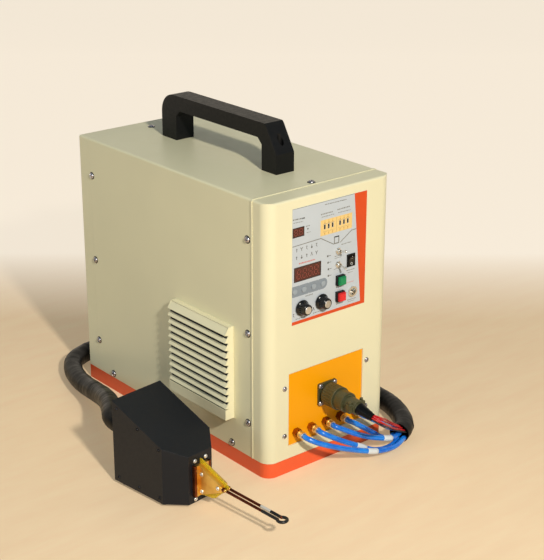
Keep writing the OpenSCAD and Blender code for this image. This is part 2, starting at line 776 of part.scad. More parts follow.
// Rocker with a hollow face, its ends on one radius about the pin
module power_rocker() color([0.75, 0.1, 0.08])
    translate([ov_x(rocker_share[0]), ov_y, ov_z(rocker_share[1])]) rotate([rocker_tilt, 0, 0])
        difference() {
            along_x(cut_gap - rocker_in_w / 2, rocker_in_w / 2 - cut_gap) intersection() {
                circle(rocker_in_h / 2 - cut_gap);
                polygon([[-rocker_crest, rocker_in_h], [-rocker_dip, 0], [-rocker_crest, -rocker_in_h],
                    [rocker_back, -rocker_in_h], [rocker_back, rocker_in_h]]);
            }
            rod_x(rocker_pin_r + run_gap, -rocker_w, rocker_w);
        }
rocker_crest = 4.4;
rocker_dip = 1.9;
rocker_back = 3;

// Square body of a push button behind the overlay
button_in = 12;
button_stem_r = 2;
button_stem_l = 9;
cap_gap = 0.5;

module button_bodies() color([0.06, 0.06, 0.07]) {
    for (s = button_row_shares) translate([ov_x(button_share), 0, ov_z(s)]) difference() {
        union() {
            block([-button_s / 2, ov_y - button_out, -button_s / 2], [button_s / 2, ov_y, button_s / 2]);
            block([-button_in / 2, ov_y - over, -button_in / 2],
                [button_in / 2, inner_y + button_can_l, button_in / 2]);
        }
        block([-cap_s / 2 - cut_gap, ov_y - button_out - over, -cap_s / 2 - cut_gap],
            [cap_s / 2 + cut_gap, ov_y - seat_gap, cap_s / 2 + cut_gap]);
        rod_y(button_stem_r + run_gap, ov_y - over, ov_y + button_stem_l + over);
    }
    for (s = key_shares) translate([ov_x(s), 0, ov_z(key_row_share)]) difference() {
        rod_y(key_r + button_wall, inner_y, inner_y + key_body_l);
        rod_y(key_r + run_gap, inner_y - over, inner_y + key_in + key_travel + seat_gap);
    }
}
key_in = 3;

// Push button cap with an eased edge, on a round stem
module push_cap(share) translate([ov_x(button_share), 0, ov_z(share)]) {
    block([-cap_s / 2, ov_y - cap_out + cap_ease, -cap_s / 2],
        [cap_s / 2, ov_y - button_travel - cap_gap, cap_s / 2]);
    block([cap_ease - cap_s / 2, ov_y - cap_out, cap_ease - cap_s / 2],
        [cap_s / 2 - cap_ease, ov_y - cap_out + over, cap_s / 2 - cap_ease]);
    rod_y(button_stem_r, ov_y - button_travel - cap_gap - over, ov_y + button_stem_l - button_travel);
}
cap_ease = 0.6;
module start_button() color([0.1, 0.6, 0.25]) push_cap(button_row_shares[0]);
module stop_button() color([0.8, 0.1, 0.1]) push_cap(button_row_shares[1]);

module round_key(i) color([0.2, 0.2, 0.22])
    translate([ov_x(key_shares[i]), 0, ov_z(key_row_share)]) rod_y(key_r, ov_y - key_out, inner_y + key_in);
module key_1() round_key(0);
module key_2() round_key(1);
module key_3() round_key(2);
module key_4() round_key(3);

// Knob: skirt, fluted grip, pressed-in cap and its shaft
module knob(share) color([0.1, 0.1, 0.11])
    translate([ov_x(share), ov_y - knob_gap, ov_z(knob_row_share)]) rotate([90, 0, 0]) {
        difference() {
            rotate_extrude() polygon([[0, 0], [knob_r - knob_ease, 0], [knob_r, knob_ease],
                [knob_r, knob_ease * 2], [knob_tip_r + knob_ease, knob_skirt],
                [knob_tip_r, knob_h - knob_ease], [knob_tip_r - knob_ease, knob_h], [0, knob_h]]);
            translate([0, 0, -over]) cylinder(h = bush_l + over, r = bush_nut_r + cut_gap);
            for (k = [0:flutes - 1]) rotate(360 * k / flutes)
                translate([knob_tip_r + flute_out_share * flute_r, 0, knob_skirt])
                    cylinder(h = knob_h, r = flute_r, $fn = 24);
        }
        translate([0, 0, knob_h - over]) cylinder(h = over + knob_cap_t / 2, r = knob_tip_r - 2 * knob_ease);
        translate([0, 0, -knob_gap - overlay_t - bezel_t - pot_pin_l])
            cylinder(h = knob_gap + overlay_t + bezel_t + pot_pin_l + bush_l + over, r = shaft_r);
    }
knob_ease = 1;
flute_out_share = 0.6;
flutes = 18;
flute_r = 0.8;
bush_nut_r = 6;
bush_nut_t = 1.6;
module knob_left() knob(knob_shares[0]);
module knob_right() knob(knob_shares[1]);

module potentiometers() color([0.6, 0.6, 0.58])
    for (s = knob_shares) translate([ov_x(s), 0, ov_z(knob_row_share)]) difference() {
        union() {
            rod_y(bush_r, ov_y - bush_l + knob_gap, inner_y + over);
            translate([0, ov_y, 0]) rotate([90, 0, 0]) cylinder(h = bush_nut_t, r = bush_nut_r, $fn = 6);
            rod_y(pot_r, inner_y, inner_y + pot_l);
        }
        rod_y(shaft_r + run_gap, ov_y - bush_l - over, inner_y + pot_pin_l + seat_gap);
    }

foot_wall = 1.5;
foot_barrel_r = foot_bore_r + foot_wall;
foot_rim_w = 0.9;
foot_rim_r = foot_barrel_r + foot_rim_w;
foot_rim_t = 2.5;
foot_depth = 9;
foot_can_l = 14;
foot_pin_r = 0.8;
foot_pin_l = 3;

module foot_switch_socket() color([0.75, 0.76, 0.77])
    translate([ov_x(socket_share[0]), 0, ov_z(socket_share[1])]) {
        difference() {
            union() {
                rod_y(foot_rim_r, ov_y - foot_rim_t, ov_y);
                rod_y(foot_barrel_r, ov_y - over, inner_y + foot_can_l);
                translate([0, inner_y + rim_t, 0]) rotate([90, 0, 0])
                    cylinder(h = rim_t, r = foot_rim_r + rim_t, $fn = 6);
            }
            rod_y(foot_bore_r, ov_y - foot_rim_t - over, ov_y - foot_rim_t + foot_depth);
            for (k = [0:2]) rotate([0, 120 * k, 0]) translate([foot_bore_r / 2, 0, 0])
                rod_y(foot_pin_r, ov_y, ov_y - foot_rim_t + foot_depth + foot_pin_l);
        }
    }

// Cylinder or cone from one point to another
module rod_between(a, b, r1, r2) {
    d = b - a;
    translate(a) rotate([0, acos(d[2] / norm(d)), atan2(d[1], d[0])])
        cylinder(h = norm(d), r1 = r1, r2 = r2);
}

// Connector: distances in front of the plate
ring_back = 8;
join_out = 20;
collar_l = 17;
collar_r = 15;
saddle_l = 22;
saddle_r = 11;
boot_r = 8;
boot_tip_r = 5;
boot_turn = [4, -24, -7];
ring_y1 = plate_y - ring_back;
ring_y0 = ring_y1 - ring_l;
join_y = plate_y - join_out;
collar_y0 = ring_y0 - cut_gap - collar_l;
saddle_y0 = collar_y0 - saddle_l;
boot_a = [connector_x, saddle_y0, connector_z];
boot_b = boot_a + boot_turn;

module signal_socket() color([0.33, 0.34, 0.22])
    translate([connector_x, 0, connector_z]) difference() {
        union() {
            along_y(plate_y - flange_t2, plate_y) {
                square([flange_s, flange_s - 2 * flange_round], center = true);
                square([flange_s - 2 * flange_round, flange_s], center = true);
                for (x = [-1, 1]) for (z = [-1, 1])
                    translate([x, z] * (flange_s / 2 - flange_round)) circle(flange_round);
            }
            rod_y(barrel_r, join_y, plate_y + over);
            for (i = [0:2]) rod_y(barrel_r + thread_t, plate_y - flange_t2 - (i + 1) * thread_step,
                plate_y - flange_t2 - (i + 1) * thread_step + thread_step / 2);
            rod_y(barrel_r, plate_y, plate_y + socket_back);
        }
        for (x = [-1, 1]) for (z = [-1, 1]) translate([x * flange_hole, 0, z * flange_hole])
            rod_y(pan_shank_r + cut_gap, plate_y - flange_t2 - over, plate_y + over);
    }
flange_round = 3;
thread_step = 1.4;
thread_t = 0.6;
socket_back = 16;

// Coupling ring: knurled, free to turn on the plug's nose
module coupling_ring() color([0.3, 0.31, 0.2]) translate([connector_x, 0, connector_z]) difference() {
    rod_y(ring_r, ring_y0, ring_y1);
    rod_y(barrel_r + run_gap, ring_y0 - over, ring_y1 + over);
    for (k = [0:knurls - 1]) rotate([0, 360 * k / knurls, 0]) translate([ring_r + knurl_r / 3, 0, 0])
        rod_y(knurl_r, ring_y0 + knurl_edge, ring_y1 - knurl_edge);
}
knurls = 24;
knurl_r = 1.2;
knurl_edge = 3;

module plug_shell() color([0.3, 0.31, 0.22]) {
    translate([connector_x, 0, connector_z]) {
        rod_y(barrel_r, ring_y0 - cut_gap - over, join_y);
        rod_y(collar_r, collar_y0, ring_y0 - cut_gap);
        rod_y(saddle_r, saddle_y0, collar_y0 + over);
        for (x = [-1, 1]) block([x * saddle_r - saddle_bar, saddle_y0 + saddle_end, -saddle_bar],
            [x * saddle_r + saddle_bar, saddle_y0 + saddle_end + 2 * saddle_bar, saddle_bar]);
        for (z = [-1, 1]) along_y(saddle_y0 + saddle_end, saddle_y0 + saddle_end + 2 * saddle_bar)
            translate([0, z * saddle_bar]) square([2 * saddle_r + 2 * saddle_bar, saddle_bar],
                center = true);
        for (x = [-1, 1]) translate([x * saddle_r, saddle_y0 + saddle_end + saddle_bar, 0])
            cylinder(h = saddle_r - over, r = saddle_screw_r);
    }
    rod_between(boot_a - boot_turn / 4, boot_b, boot_r, boot_tip_r);
}
saddle_bar = 4;
saddle_end = 3;
saddle_screw_r = 2.4;

fitting_hex_l = 8;
fitting_end_l = 18;
fitting_collar_r = 4.6;
fitting_stem_r = 4;
fitting_back = 14;
fitting_nut_t = 4;
fitting_end_y = plate_y - fitting_end_l;

module hose_fittings() color([0.8, 0.75, 0.6])
    for (x = fitting_xs) translate([x, 0, fitting_z]) {
        translate([0, plate_y, 0]) rotate([90, 0, 0])
            cylinder(h = fitting_hex_l, r = fitting_r, $fn = 6);
        rod_y(fitting_collar_r, fitting_end_y, plate_y - over);
        rod_y(fitting_stem_r, plate_y - over, plate_y + plate_t + fitting_back);
        translate([0, plate_y + plate_t + fitting_nut_t, 0]) rotate([90, 0, 0])
            cylinder(h = fitting_nut_t, r = fitting_r, $fn = 6);
    }

// Mouth of the bundle sleeve: its centre, the way the hoses run into it, and their places in it
mouth = [112, -267, 17];
mouth_dir = [0.9, 0.44, 0];
mouth_u = unit(cross(mouth_dir, [0, 0, 1]));
function in_mouth(a, b) = mouth + a * mouth_u + [0, 0, b];
hose_seats = [[8, -6], [-1, -10], [0, 0], [-9, -4], [-6, 8]];
wire_seats = [[8, 6], [4, 9]];

// Free runs of the five hoses, from left to right
hose_runs = [
    [[-60, -252, 59], [-50, -262, 53], [-25, -273, 42], [10, -280, 28], [50, -287, 16], [85, -285, 11]],
    [[-32, -251, 59], [-24, -258, 54], [-4, -266, 42], [22, -272, 28], [52, -277, 13], [84, -275, 7]],
    [[-4, -250, 59], [4, -256, 55], [22, -265, 45], [45, -270, 34], [68, -274, 26], [90, -275, 20]],
    [[24, -249, 59], [31, -252, 55], [46, -257, 44], [62, -260, 32], [80, -262, 19], [95, -265, 14]],
    [[52, -250, 59], [58, -254, 56], [70, -259, 48], [82, -261, 39], [94, -262, 31], [104, -265, 27]]];

module water_hoses() color([0.24, 0.47, 0.86])
    for (i = [0:4]) tube(concat([[fitting_xs[i], fitting_end_y, fitting_z]], hose_runs[i],
        [in_mouth(hose_seats[i][0], hose_seats[i][1])]), hose_d / 2, 10, [0, -1, 0], mouth_dir);

// Free runs of the two control wires, from the boot to the sleeve
wire_runs = [
    [[8, -331, 93], [30, -322, 78], [56, -300, 60], [84, -280, 40]],
    [[12, -328, 95], [34, -316, 80], [60, -294, 62], [88, -274, 42]]];
boot_u = unit(cross(boot_turn, [0, 0, 1]));

module control_wires() color([0.7, 0.12, 0.1])
    for (i = [0, 1]) tube(concat([boot_b + (1 - i * 2) * wire_d * 0.7 * boot_u], wire_runs[i],
        [in_mouth(wire_seats[i][0], wire_seats[i][1])]), wire_d / 2, 8, boot_turn, mouth_dir);

// Run of the sleeve along the floor, round behind the cabinet and up to the head's gland
sleeve_run = [[130, -257, 17], [146, -240, 17], [160, -216, 17], [170, -188, 17], [175, -150, 17],
    [176, -90, 17], [176, -20, 17], [176, 50, 17], [176, 120, 17], [174, 180, 17], [165, 230, 17],
    [142, 268, 17], [105, 286, 17], [45, 290, 17], [-25, 290, 17], [-85, 286, 17], [-120, 270, 17],
    [-140, 244, 17], [-156, 205, 17], [-167, 165, 18], [-177, 120, 24], [-190, 76, 37],
    [-205, 36, 51], [-226, 0, 59], [-241, -28, 62]];

module bundle_sleeve() color([0.07, 0.07, 0.07])
    tube(concat([mouth], sleeve_run, [head_point([0, gland_l + cut_gap, gland_z])]),
        sleeve_d / 2, 12, mouth_dir, head_point([0, 0, 0]) - head_point([0, 1, 0]));

// Terminals: root on the nose, tip at the coil
root_z0 = 16;
root_z1 = 63;
root_edge = 6;
root_reach = 8;
root_t = 5;
tip_z = 41;
tip_half = 5;
tip_flat = 3;

// Place of the work head: centre of its rear end on the floor, and its turn
head_x = -240;
head_y = -89.5;
head_turn = 6.72;
function head_point(p) = [head_x + p[0] * cos(head_turn) - p[1] * sin(head_turn),
    head_y + p[0] * sin(head_turn) + p[1] * cos(head_turn), p[2]];
module on_head() {
    translate([head_x, head_y, 0]) rotate(head_turn) children();
}
gland_hex_l = 7;
gland_hex_r = gland_r + 3;
gland_wall = 6;
gland_thread_r = gland_r - 2;
gland_nut_t = 4;

head_slope = (head_w - nose_w) / 2;
// Depth of the nose wall for a wall t elsewhere
function nose_in(t) = t * norm([head_slope, nose_l]) / head_slope;

// Closed form of the head, drawn in by t on every side
module head_form(t) {
    intersection() {
        translate([0, nose_in(t), foot_h + t])
            linear_extrude(head_h) polygon([[-head_w / 2, head_t], [-head_w / 2, nose_l - head_l],
                [-nose_w / 2, -head_l], [nose_w / 2, -head_l], [head_w / 2, nose_l - head_l],
                [head_w / 2, head_t]]);
        along_x(t - head_w / 2, head_w / 2 - t)
            polygon([[-t, foot_h + t], [-t, head_h - t * norm([head_l, head_drop]) / head_l
                - t * head_drop / head_l], [t - head_l, head_h - head_drop
                - t * norm([head_l, head_drop]) / head_l + t * head_drop / head_l],
                [t - head_l, foot_h + t]]);
    }
}

module head_case() color([0.17, 0.18, 0.2]) on_head() difference() {
    head_form(0);
    head_form(head_t);
    translate([0, 0, gland_z]) rod_y(gland_thread_r + seat_gap, -head_t - over, over);
    for (p = head_side_screws) for (s = [-1, 1]) translate([s * head_w / 2, p[0], p[1]])
        rod_x(trim_shank_r, -head_t - over, head_t + over);
    for (p = nose_screws) translate([p[0], 0, p[1]])
        rod_y(trim_shank_r, -head_l - over, over - head_l + nose_in(head_t));
}

// Small screws: along the sides as y and z, and on the nose as x and z
trim_r = 2.4;
trim_h = 1.4;
trim_shank_r = 1.2;
trim_shank_l = 3;
head_run_shares = [0.07, 0.4, 0.73];
head_edge = 7;
head_side_screws = concat(
    [for (s = head_run_shares) [-s * head_l, head_h - s * head_drop - head_edge]],
    [for (s = head_run_shares) [-s * head_l, foot_h + head_edge]]);
nose_screw_x = 10;
nose_screws = [for (x = [-1, 1]) for (z = [root_z0 - root_edge, root_z1 + root_edge])
    [x * nose_screw_x, z]];

module trim_screw() {
    cylinder(h = trim_h, r1 = trim_r, r2 = trim_r * pan_top_share);
    translate([0, 0, -trim_shank_l]) cylinder(h = trim_shank_l + trim_h / 2, r = trim_shank_r);
}

module head_screws() color([0.25, 0.25, 0.27]) on_head() {
    for (p = head_side_screws) for (s = [-1, 1])
        translate([s * head_w / 2, p[0], p[1]]) rotate([0, s * 90, 0]) trim_screw();
    for (p = nose_screws) translate([p[0], -head_l, p[1]]) rotate([90, 0, 0]) trim_screw();
    for (p = terminal_screws) for (s = [-1, 1])
        translate([s * (insul_t / 2 + terminal_t), p[0], p[1]]) rotate([0, s * 90, 0]) trim_screw();
}

module head_feet() color([0.05, 0.05, 0.05]) on_head()
    for (x = [-1, 1]) for (s = foot_shares)
        translate([x * (head_w / 2 - foot_in), -s * head_l, 0]) cylinder(h = foot_h, r = foot_r);
foot_r = 6;
foot_in = 11;
foot_shares = [0.1, 0.72];

module head_gland() color([0.1, 0.1, 0.1]) on_head() translate([0, 0, gland_z]) difference() {
    union() {
        translate([0, gland_hex_l, 0]) rotate([90, 0, 0])
            cylinder(h = gland_hex_l, r = gland_hex_r, $fn = 6);
        rod_y(gland_r, gland_hex_l - over, gland_l);
        rod_y(gland_thread_r, -head_t - gland_nut_t, over);
        rod_y(gland_r, -head_t - gland_nut_t, -head_t);
    }
    rod_y(gland_r - gland_wall, -head_t - gland_nut_t - over, gland_l + over);
}

terminal_screws = [[-head_l - terminal_l + tip_half, tip_z], [-head_l - root_t - 2 * trim_r, root_z1
    - 2 * root_edge], [-head_l - root_t - 2 * trim_r, root_z0 + root_edge + trim_r]];

module terminal(s) color([0.85, 0.62, 0.25]) on_head() difference() {
    mirror([s < 0 ? 1 : 0, 0, 0]) {
        along_x(insul_t / 2, insul_t / 2 + terminal_t) translate([-head_l, 0])
            polygon([[0, root_z0], [0, root_z1], [-tip_flat, root_z1],
                [-terminal_l, tip_z + tip_half], [-terminal_l, tip_z - tip_half],
                [-tip_flat, root_z0]]);
        block([insul_t / 2 + terminal_t - over, -head_l - root_t, root_z0],
            [insul_t / 2 + terminal_t + root_reach, -head_l, root_z1]);
    }
    for (p = terminal_screws) translate([s * (insul_t / 2 + terminal_t), p[0], p[1]])
        rod_x(trim_shank_r, -trim_shank_l, trim_shank_l);
}
module terminal_left() terminal(-1);
module terminal_right() terminal(1);

// Outline of the sheet between the terminals, as shares of their reach and root height
insul_shares = [[0, 1.149], [0.087, 1.149], [1.217, 0.638], [1.13, 0.468], [0.9, 0.3],
    [0.652, 0.064], [0.5, 0.01], [0, -0.043]];
module insulator_sheet() color([0.9, 0.75, 0.2]) on_head()
    along_x(-insul_t / 2, insul_t / 2) translate([-head_l, root_z0])
        polygon([for (p = insul_shares) [-p[0] * terminal_l, p[1] * (root_z1 - root_z0)]]);

// Coil: collars on the terminal tips, two leads and a ring open towards the head
lead_x = insul_t / 2 + terminal_t / 2;
collar_len = 6;
collar_rad = 3.2;
braze_t = 0.3;
lead_turn = asin(lead_x / coil_r);
module work_coil() color([0.72, 0.4, 0.25]) on_head() {
    for (s = [-1, 1]) {
        translate([s * lead_x, 0, tip_z])
            rod_y(collar_rad, -head_l - terminal_l - collar_len, -head_l - terminal_l);
        rod_between([s * lead_x, -head_l - terminal_l - collar_len / 2, tip_z],
            [s * lead_x, -head_l - coil_reach + coil_r * cos(lead_turn), coil_z], tube_r, tube_r);
        translate([s * lead_x, -head_l - coil_reach + coil_r * cos(lead_turn), coil_z])
            sphere(tube_r + braze_t);
    }
    translate([0, -head_l - coil_reach, coil_z]) rotate(90 + lead_turn)
        rotate_extrude(angle = 360 - 2 * lead_turn) translate([coil_r, 0]) circle(tube_r);
}

// Transformer on the head's floor: core, winding and two bars to the nose
core_w = 62;
core_d = 52;
core_h = 66;
core_leg = 14;
core_front_share = 0.66;
bar_t = 6;
bar_x = 9;
bar_z0 = 24;
bar_z1 = 54;
module head_transformer() color([0.25, 0.22, 0.2]) on_head() {
    y0 = -core_front_share * head_l;
    z0 = foot_h + head_t;
    difference() {
        block([-core_w / 2, y0, z0], [core_w / 2, y0 + core_d, z0 + core_h]);
        for (s = [-1, 1]) translate([s * (core_w / 4), 0, 0])
            block([-core_leg / 3, y0 - over, z0 + core_leg], [core_leg / 3, y0 + core_d + over,
                z0 + core_h - core_leg]);
    }
    for (s = [-1, 1]) block([s * bar_x - bar_t / 2, nose_in(head_t) - head_l, bar_z0],
        [s * bar_x + bar_t / 2, y0 + over, bar_z1]);
}

// Rear side: fan above, breaker to the left, ports in one row
fan_x = 0;
fan_z_share = 0.72;
fan_z = fan_z_share * case_h;
fan_hole_in = 7.5;
fan_hole = fan_s / 2 - fan_hole_in;
fan_y0 = rear_y - rear_t - fan_d;
fan_wall = 3;
fan_disc_t = 5;
fan_pin_r = 1.5;
fan_gap = 0.8;
blade_t = 1.6;
blade_chord = 18;
blade_pitch = 35;
breaker_x_share = -0.27;
breaker_x = breaker_x_share * case_w;
breaker_z_share = 0.35;
breaker_z = breaker_z_share * case_h;
breaker_face = 22.5;
breaker_d = 55;
breaker_out = 3;
breaker_slot = [12, 8];
breaker_hub_r = 5;
breaker_pin_r = 1.4;
breaker_arm_l = 15;
breaker_arm_t = 4;
breaker_tilt = 25;
breaker_pivot_y = rear_y + breaker_out - breaker_hub_r - tip_gap;

port_z = 60;
nozzle_shares = [0.14, 0.31];
nozzle_xs = [for (s = nozzle_shares) s * case_w];
nozzle_hex_r = 9;
nozzle_hex_l = 8;
nozzle_back = 16;
mains_share = -0.31;
mains_x = mains_share * case_w;
mains_wall = 2.4;
mains_thread_r = mains_bore_r + mains_wall;
mains_hex_r = 13;
mains_hex_l = 6;
mains_dome_l = 18;
stud_share = -0.07;
stud_x = stud_share * case_w;
stud_l = 18;

module earth_stud() translate([stud_x, 0, port_z]) {
    rod_y(stud_r, rear_y - over, rear_y + stud_l);
    translate([0, rear_y + 2 * stud_r / 3, 0]) rotate([90, 0, 0])
        cylinder(h = stud_r, r = 2 * stud_r, $fn = 6);
}

module circuit_breaker() color([0.86, 0.86, 0.84]) translate([breaker_x, 0, breaker_z]) {
    difference() {
        union() {
            block([-breaker_w / 2, rear_y - rear_t - breaker_d, -breaker_h / 2],
                [breaker_w / 2, rear_y - rear_t, breaker_h / 2]);
            block([-breaker_w / 2, rear_y - rear_t - over, -breaker_face],
                [breaker_w / 2, rear_y + breaker_out, breaker_face]);
        }
        block([-breaker_slot[0], breaker_pivot_y - breaker_hub_r - over, -breaker_slot[1]],
            [breaker_slot[0], rear_y + breaker_out + over, breaker_slot[1]]);
    }
    translate([0, breaker_pivot_y, 0])
        rod_x(breaker_pin_r, -breaker_slot[0] - over, breaker_slot[0] + over);
}

module breaker_lever() color([0.1, 0.15, 0.3])
    translate([breaker_x, breaker_pivot_y, breaker_z]) rotate([breaker_tilt, 0, 0]) difference() {
        union() {
            rod_x(breaker_hub_r, cut_gap - breaker_slot[0], breaker_slot[0] - cut_gap);
            block([cut_gap - breaker_slot[0], 0, -breaker_arm_t / 2],
                [breaker_slot[0] - cut_gap, breaker_arm_l, breaker_arm_t / 2]);
        }
        rod_x(breaker_pin_r + run_gap, -breaker_w, breaker_w);
    }

module water_nozzles() color([0.85, 0.68, 0.35])
    for (x = nozzle_xs) translate([x, 0, port_z]) {
        translate([0, rear_y + nozzle_hex_l, 0]) rotate([90, 0, 0])
            cylinder(h = nozzle_hex_l, r = nozzle_hex_r, $fn = 6);
        rod_y(nozzle_r, rear_y - rear_t - nozzle_back, rear_y + nozzle_hex_l + nozzle_l);
        translate([0, rear_y - rear_t, 0]) rotate([90, 0, 0])
            cylinder(h = nozzle_hex_l / 2, r = nozzle_hex_r, $fn = 6);
    }

module cable_gland() color([0.1, 0.1, 0.1]) translate([mains_x, 0, port_z]) difference() {
    union() {
        translate([0, rear_y + mains_hex_l, 0]) rotate([90, 0, 0])
            cylinder(h = mains_hex_l, r = mains_hex_r, $fn = 6);
        rod_y(mains_thread_r + over, rear_y, rear_y + mains_dome_l);
        rod_y(mains_thread_r, rear_y - rear_t - mains_hex_l, rear_y + over);
        translate([0, rear_y - rear_t, 0]) rotate([90, 0, 0])
            cylinder(h = mains_hex_l, r = mains_hex_r, $fn = 6);
    }
    rod_y(mains_bore_r, rear_y - rear_t - mains_hex_l - over, rear_y + mains_dome_l + over);
}

module fan_frame() color([0.08, 0.08, 0.08]) translate([fan_x, 0, fan_z]) {
    difference() {
        block([-fan_s / 2, fan_y0, -fan_s / 2], [fan_s / 2, fan_y0 + fan_d, fan_s / 2]);
        rod_y(fan_s / 2 - fan_wall, fan_y0 - over, fan_y0 + fan_d + over);
        for (x = [-1, 1]) for (z = [-1, 1]) translate([x * fan_hole, 0, z * fan_hole])
            rod_y(pan_shank_r + thread_gap, fan_y0 + fan_d - pan_shank_l - over, fan_y0 + fan_d + over);
    }
    rod_y(hub_r, fan_y0, fan_y0 + fan_disc_t);
    for (a = [45:90:315]) rotate([0, a, 0])
        block([hub_r - over, fan_y0, -fan_wall / 2], [fan_s / 2 - fan_wall + tip_gap, fan_y0 + fan_wall,
            fan_wall / 2]);
    rod_y(fan_pin_r, fan_y0 + fan_disc_t - over, fan_y0 + fan_d - fan_disc_t);
}

// Rotor: hub cup and pitched blades
module fan_rotor() color([0.12, 0.12, 0.12]) translate([fan_x, 0, fan_z]) {
    y0 = fan_y0 + fan_disc_t + cut_gap;
    y1 = fan_y0 + fan_d - fan_disc_t + cut_gap;
    difference() {
        union() {
            rod_y(hub_r, y0, y1);
            for (k = [0:fan_blades - 1]) rotate([0, 360 * k / fan_blades, 0])
                translate([hub_r - over, (y0 + y1) / 2, 0]) rotate([blade_pitch, 0, 0])
                    block([0, -blade_chord / 2, -blade_t / 2],
                        [fan_s / 2 - fan_wall - hub_r - fan_gap, blade_chord / 2, blade_t / 2]);
        }
        rod_y(fan_pin_r + run_gap, y0 - over, y1 + over);
    }
}

// Inside: water-cooled plate on the floor, power board on it, control board behind the bezel
cold_w = 140;
cold_d = 220;
cold_t = 22;
cold_bore_r = 5;
board_t = 1.6;
board_gap = 30;
board_in = 5;
post_r = 3;
module_size = [94, 34];
capacitor_r = 17.5;
capacitor_h = 52;
capacitor_step = [22.75, 45.5];
board_x = 90;
board_z_in = 12;
board_back = 28;

module cold_plate() color([0.75, 0.76, 0.78]) difference() {
    block([-cold_w / 2, -cold_d / 2, base_floor], [cold_w / 2, cold_d / 2, base_floor + cold_t]);
    for (x = [-1, 1]) translate([x * cold_w / 4, 0, base_floor + cold_t / 2])
        rod_y(cold_bore_r, -cold_d / 2 - over, cold_d / 2 + over);
}

module power_board() color([0.1, 0.35, 0.2]) {
    z0 = base_floor + cold_t;
    z1 = z0 + board_gap;
    block([board_in - cold_w / 2, board_in - cold_d / 2, z1],
        [cold_w / 2 - board_in, cold_d / 2 - board_in, z1 + board_t]);
    for (x = [-1, 1]) for (y = [-1, 1])
        translate([x * (cold_w / 2 - 2 * board_in), y * (cold_d / 2 - 2 * board_in), z0])
            cylinder(h = board_gap + board_t, r = post_r);
    for (y = [-1, 1]) translate([0, y * cold_d / 4, 0])
        block([-module_size[0] / 2, -module_size[1] / 2, z0],
            [module_size[0] / 2, module_size[1] / 2, z1 + tip_gap]);
    for (y = [-1:1]) for (x = [-1, 1])
        translate([x * capacitor_step[0], y * capacitor_step[1], z1])
            cylinder(h = board_t + capacitor_h, r = capacitor_r);
}

module control_board() color([0.1, 0.3, 0.18]) {
    z0 = ov_z0 + board_z_in;
    z1 = ov_z1 - board_z_in;
    block([-board_x, inner_y + board_back, z0], [board_x, inner_y + board_back + board_t, z1]);
    for (x = [-1, 1]) for (z = [z0 + board_in, z1 - board_in])
        translate([x * (board_x - board_in), 0, z]) rod_y(post_r, inner_y, inner_y + board_back + board_t);
}

base_tray();
side_cover();
rear_panel();
front_bezel();
louvre_hood();
carry_handle();
handle_screws();
cover_screws();
panel_overlay();
connector_plate();
display_small();
display_large();
wheel_block();
thumbwheel_1();
thumbwheel_2();
thumbwheel_3();
thumbwheel_4();
thumbwheel_5();
thumbwheel_6();
toggle_bodies();
toggle_upper();
toggle_lower();
rocker_frame();
power_rocker();
button_bodies();
start_button();
stop_button();
key_1();
key_2();
key_3();
key_4();
knob_left();
knob_right();
potentiometers();
foot_switch_socket();
signal_socket();
coupling_ring();
plug_shell();
hose_fittings();
water_hoses();
control_wires();
bundle_sleeve();
head_case();
head_feet();
head_gland();
terminal_left();
terminal_right();
insulator_sheet();
work_coil();
head_screws();
head_transformer();
circuit_breaker();
breaker_lever();
water_nozzles();
cable_gland();
fan_frame();
fan_rotor();
cold_plate();
power_board();
control_board();
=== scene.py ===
import math

import bmesh
import bpy
from mathutils import Matrix, Vector, noise


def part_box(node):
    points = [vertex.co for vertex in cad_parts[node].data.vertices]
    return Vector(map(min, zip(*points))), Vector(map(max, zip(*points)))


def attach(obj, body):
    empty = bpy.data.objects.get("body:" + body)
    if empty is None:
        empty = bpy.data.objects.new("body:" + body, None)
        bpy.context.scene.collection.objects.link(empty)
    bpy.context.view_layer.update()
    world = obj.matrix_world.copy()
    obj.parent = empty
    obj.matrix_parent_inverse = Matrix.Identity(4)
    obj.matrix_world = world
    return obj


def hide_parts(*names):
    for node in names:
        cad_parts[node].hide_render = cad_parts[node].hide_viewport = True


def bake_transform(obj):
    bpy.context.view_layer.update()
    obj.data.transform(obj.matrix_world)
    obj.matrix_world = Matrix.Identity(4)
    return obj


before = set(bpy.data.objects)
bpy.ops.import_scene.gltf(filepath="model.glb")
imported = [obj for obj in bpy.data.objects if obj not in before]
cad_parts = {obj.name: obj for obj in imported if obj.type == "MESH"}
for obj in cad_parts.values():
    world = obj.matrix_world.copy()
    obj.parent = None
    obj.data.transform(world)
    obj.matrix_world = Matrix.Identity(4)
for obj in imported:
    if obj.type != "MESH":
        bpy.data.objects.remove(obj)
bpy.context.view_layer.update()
scene = bpy.context.scene
MM = 0.001
UP = Vector((0, 0, 1))
CAMERA_AT = (-1.258, -1.613, 1.002)
CAMERA_YAW, CAMERA_PITCH, CAMERA_ROLL = (math.radians(a) for a in (39.778, 21.132, -0.080))


# ---- camera at the photograph's angle
def make_camera():
    level = math.cos(CAMERA_PITCH)
    look = Vector((math.sin(CAMERA_YAW) * level, math.cos(CAMERA_YAW) * level,
                   -math.sin(CAMERA_PITCH)))
    right = look.cross(UP).normalized()
    up = right.cross(look)
    turn = Matrix.Rotation(CAMERA_ROLL, 3, look)
    right, up = turn @ right, turn @ up
    data = bpy.data.cameras.new("camera")
    data.sensor_width = 36.0
    data.lens = 91.37
    data.clip_end = 60.0
    cam = bpy.data.objects.new("camera", data)
    rot = Matrix((right, up, -look)).transposed()
    cam.matrix_world = Matrix.Translation(CAMERA_AT) @ rot.to_4x4()
    scene.collection.objects.link(cam)
    scene.camera = cam


make_camera()


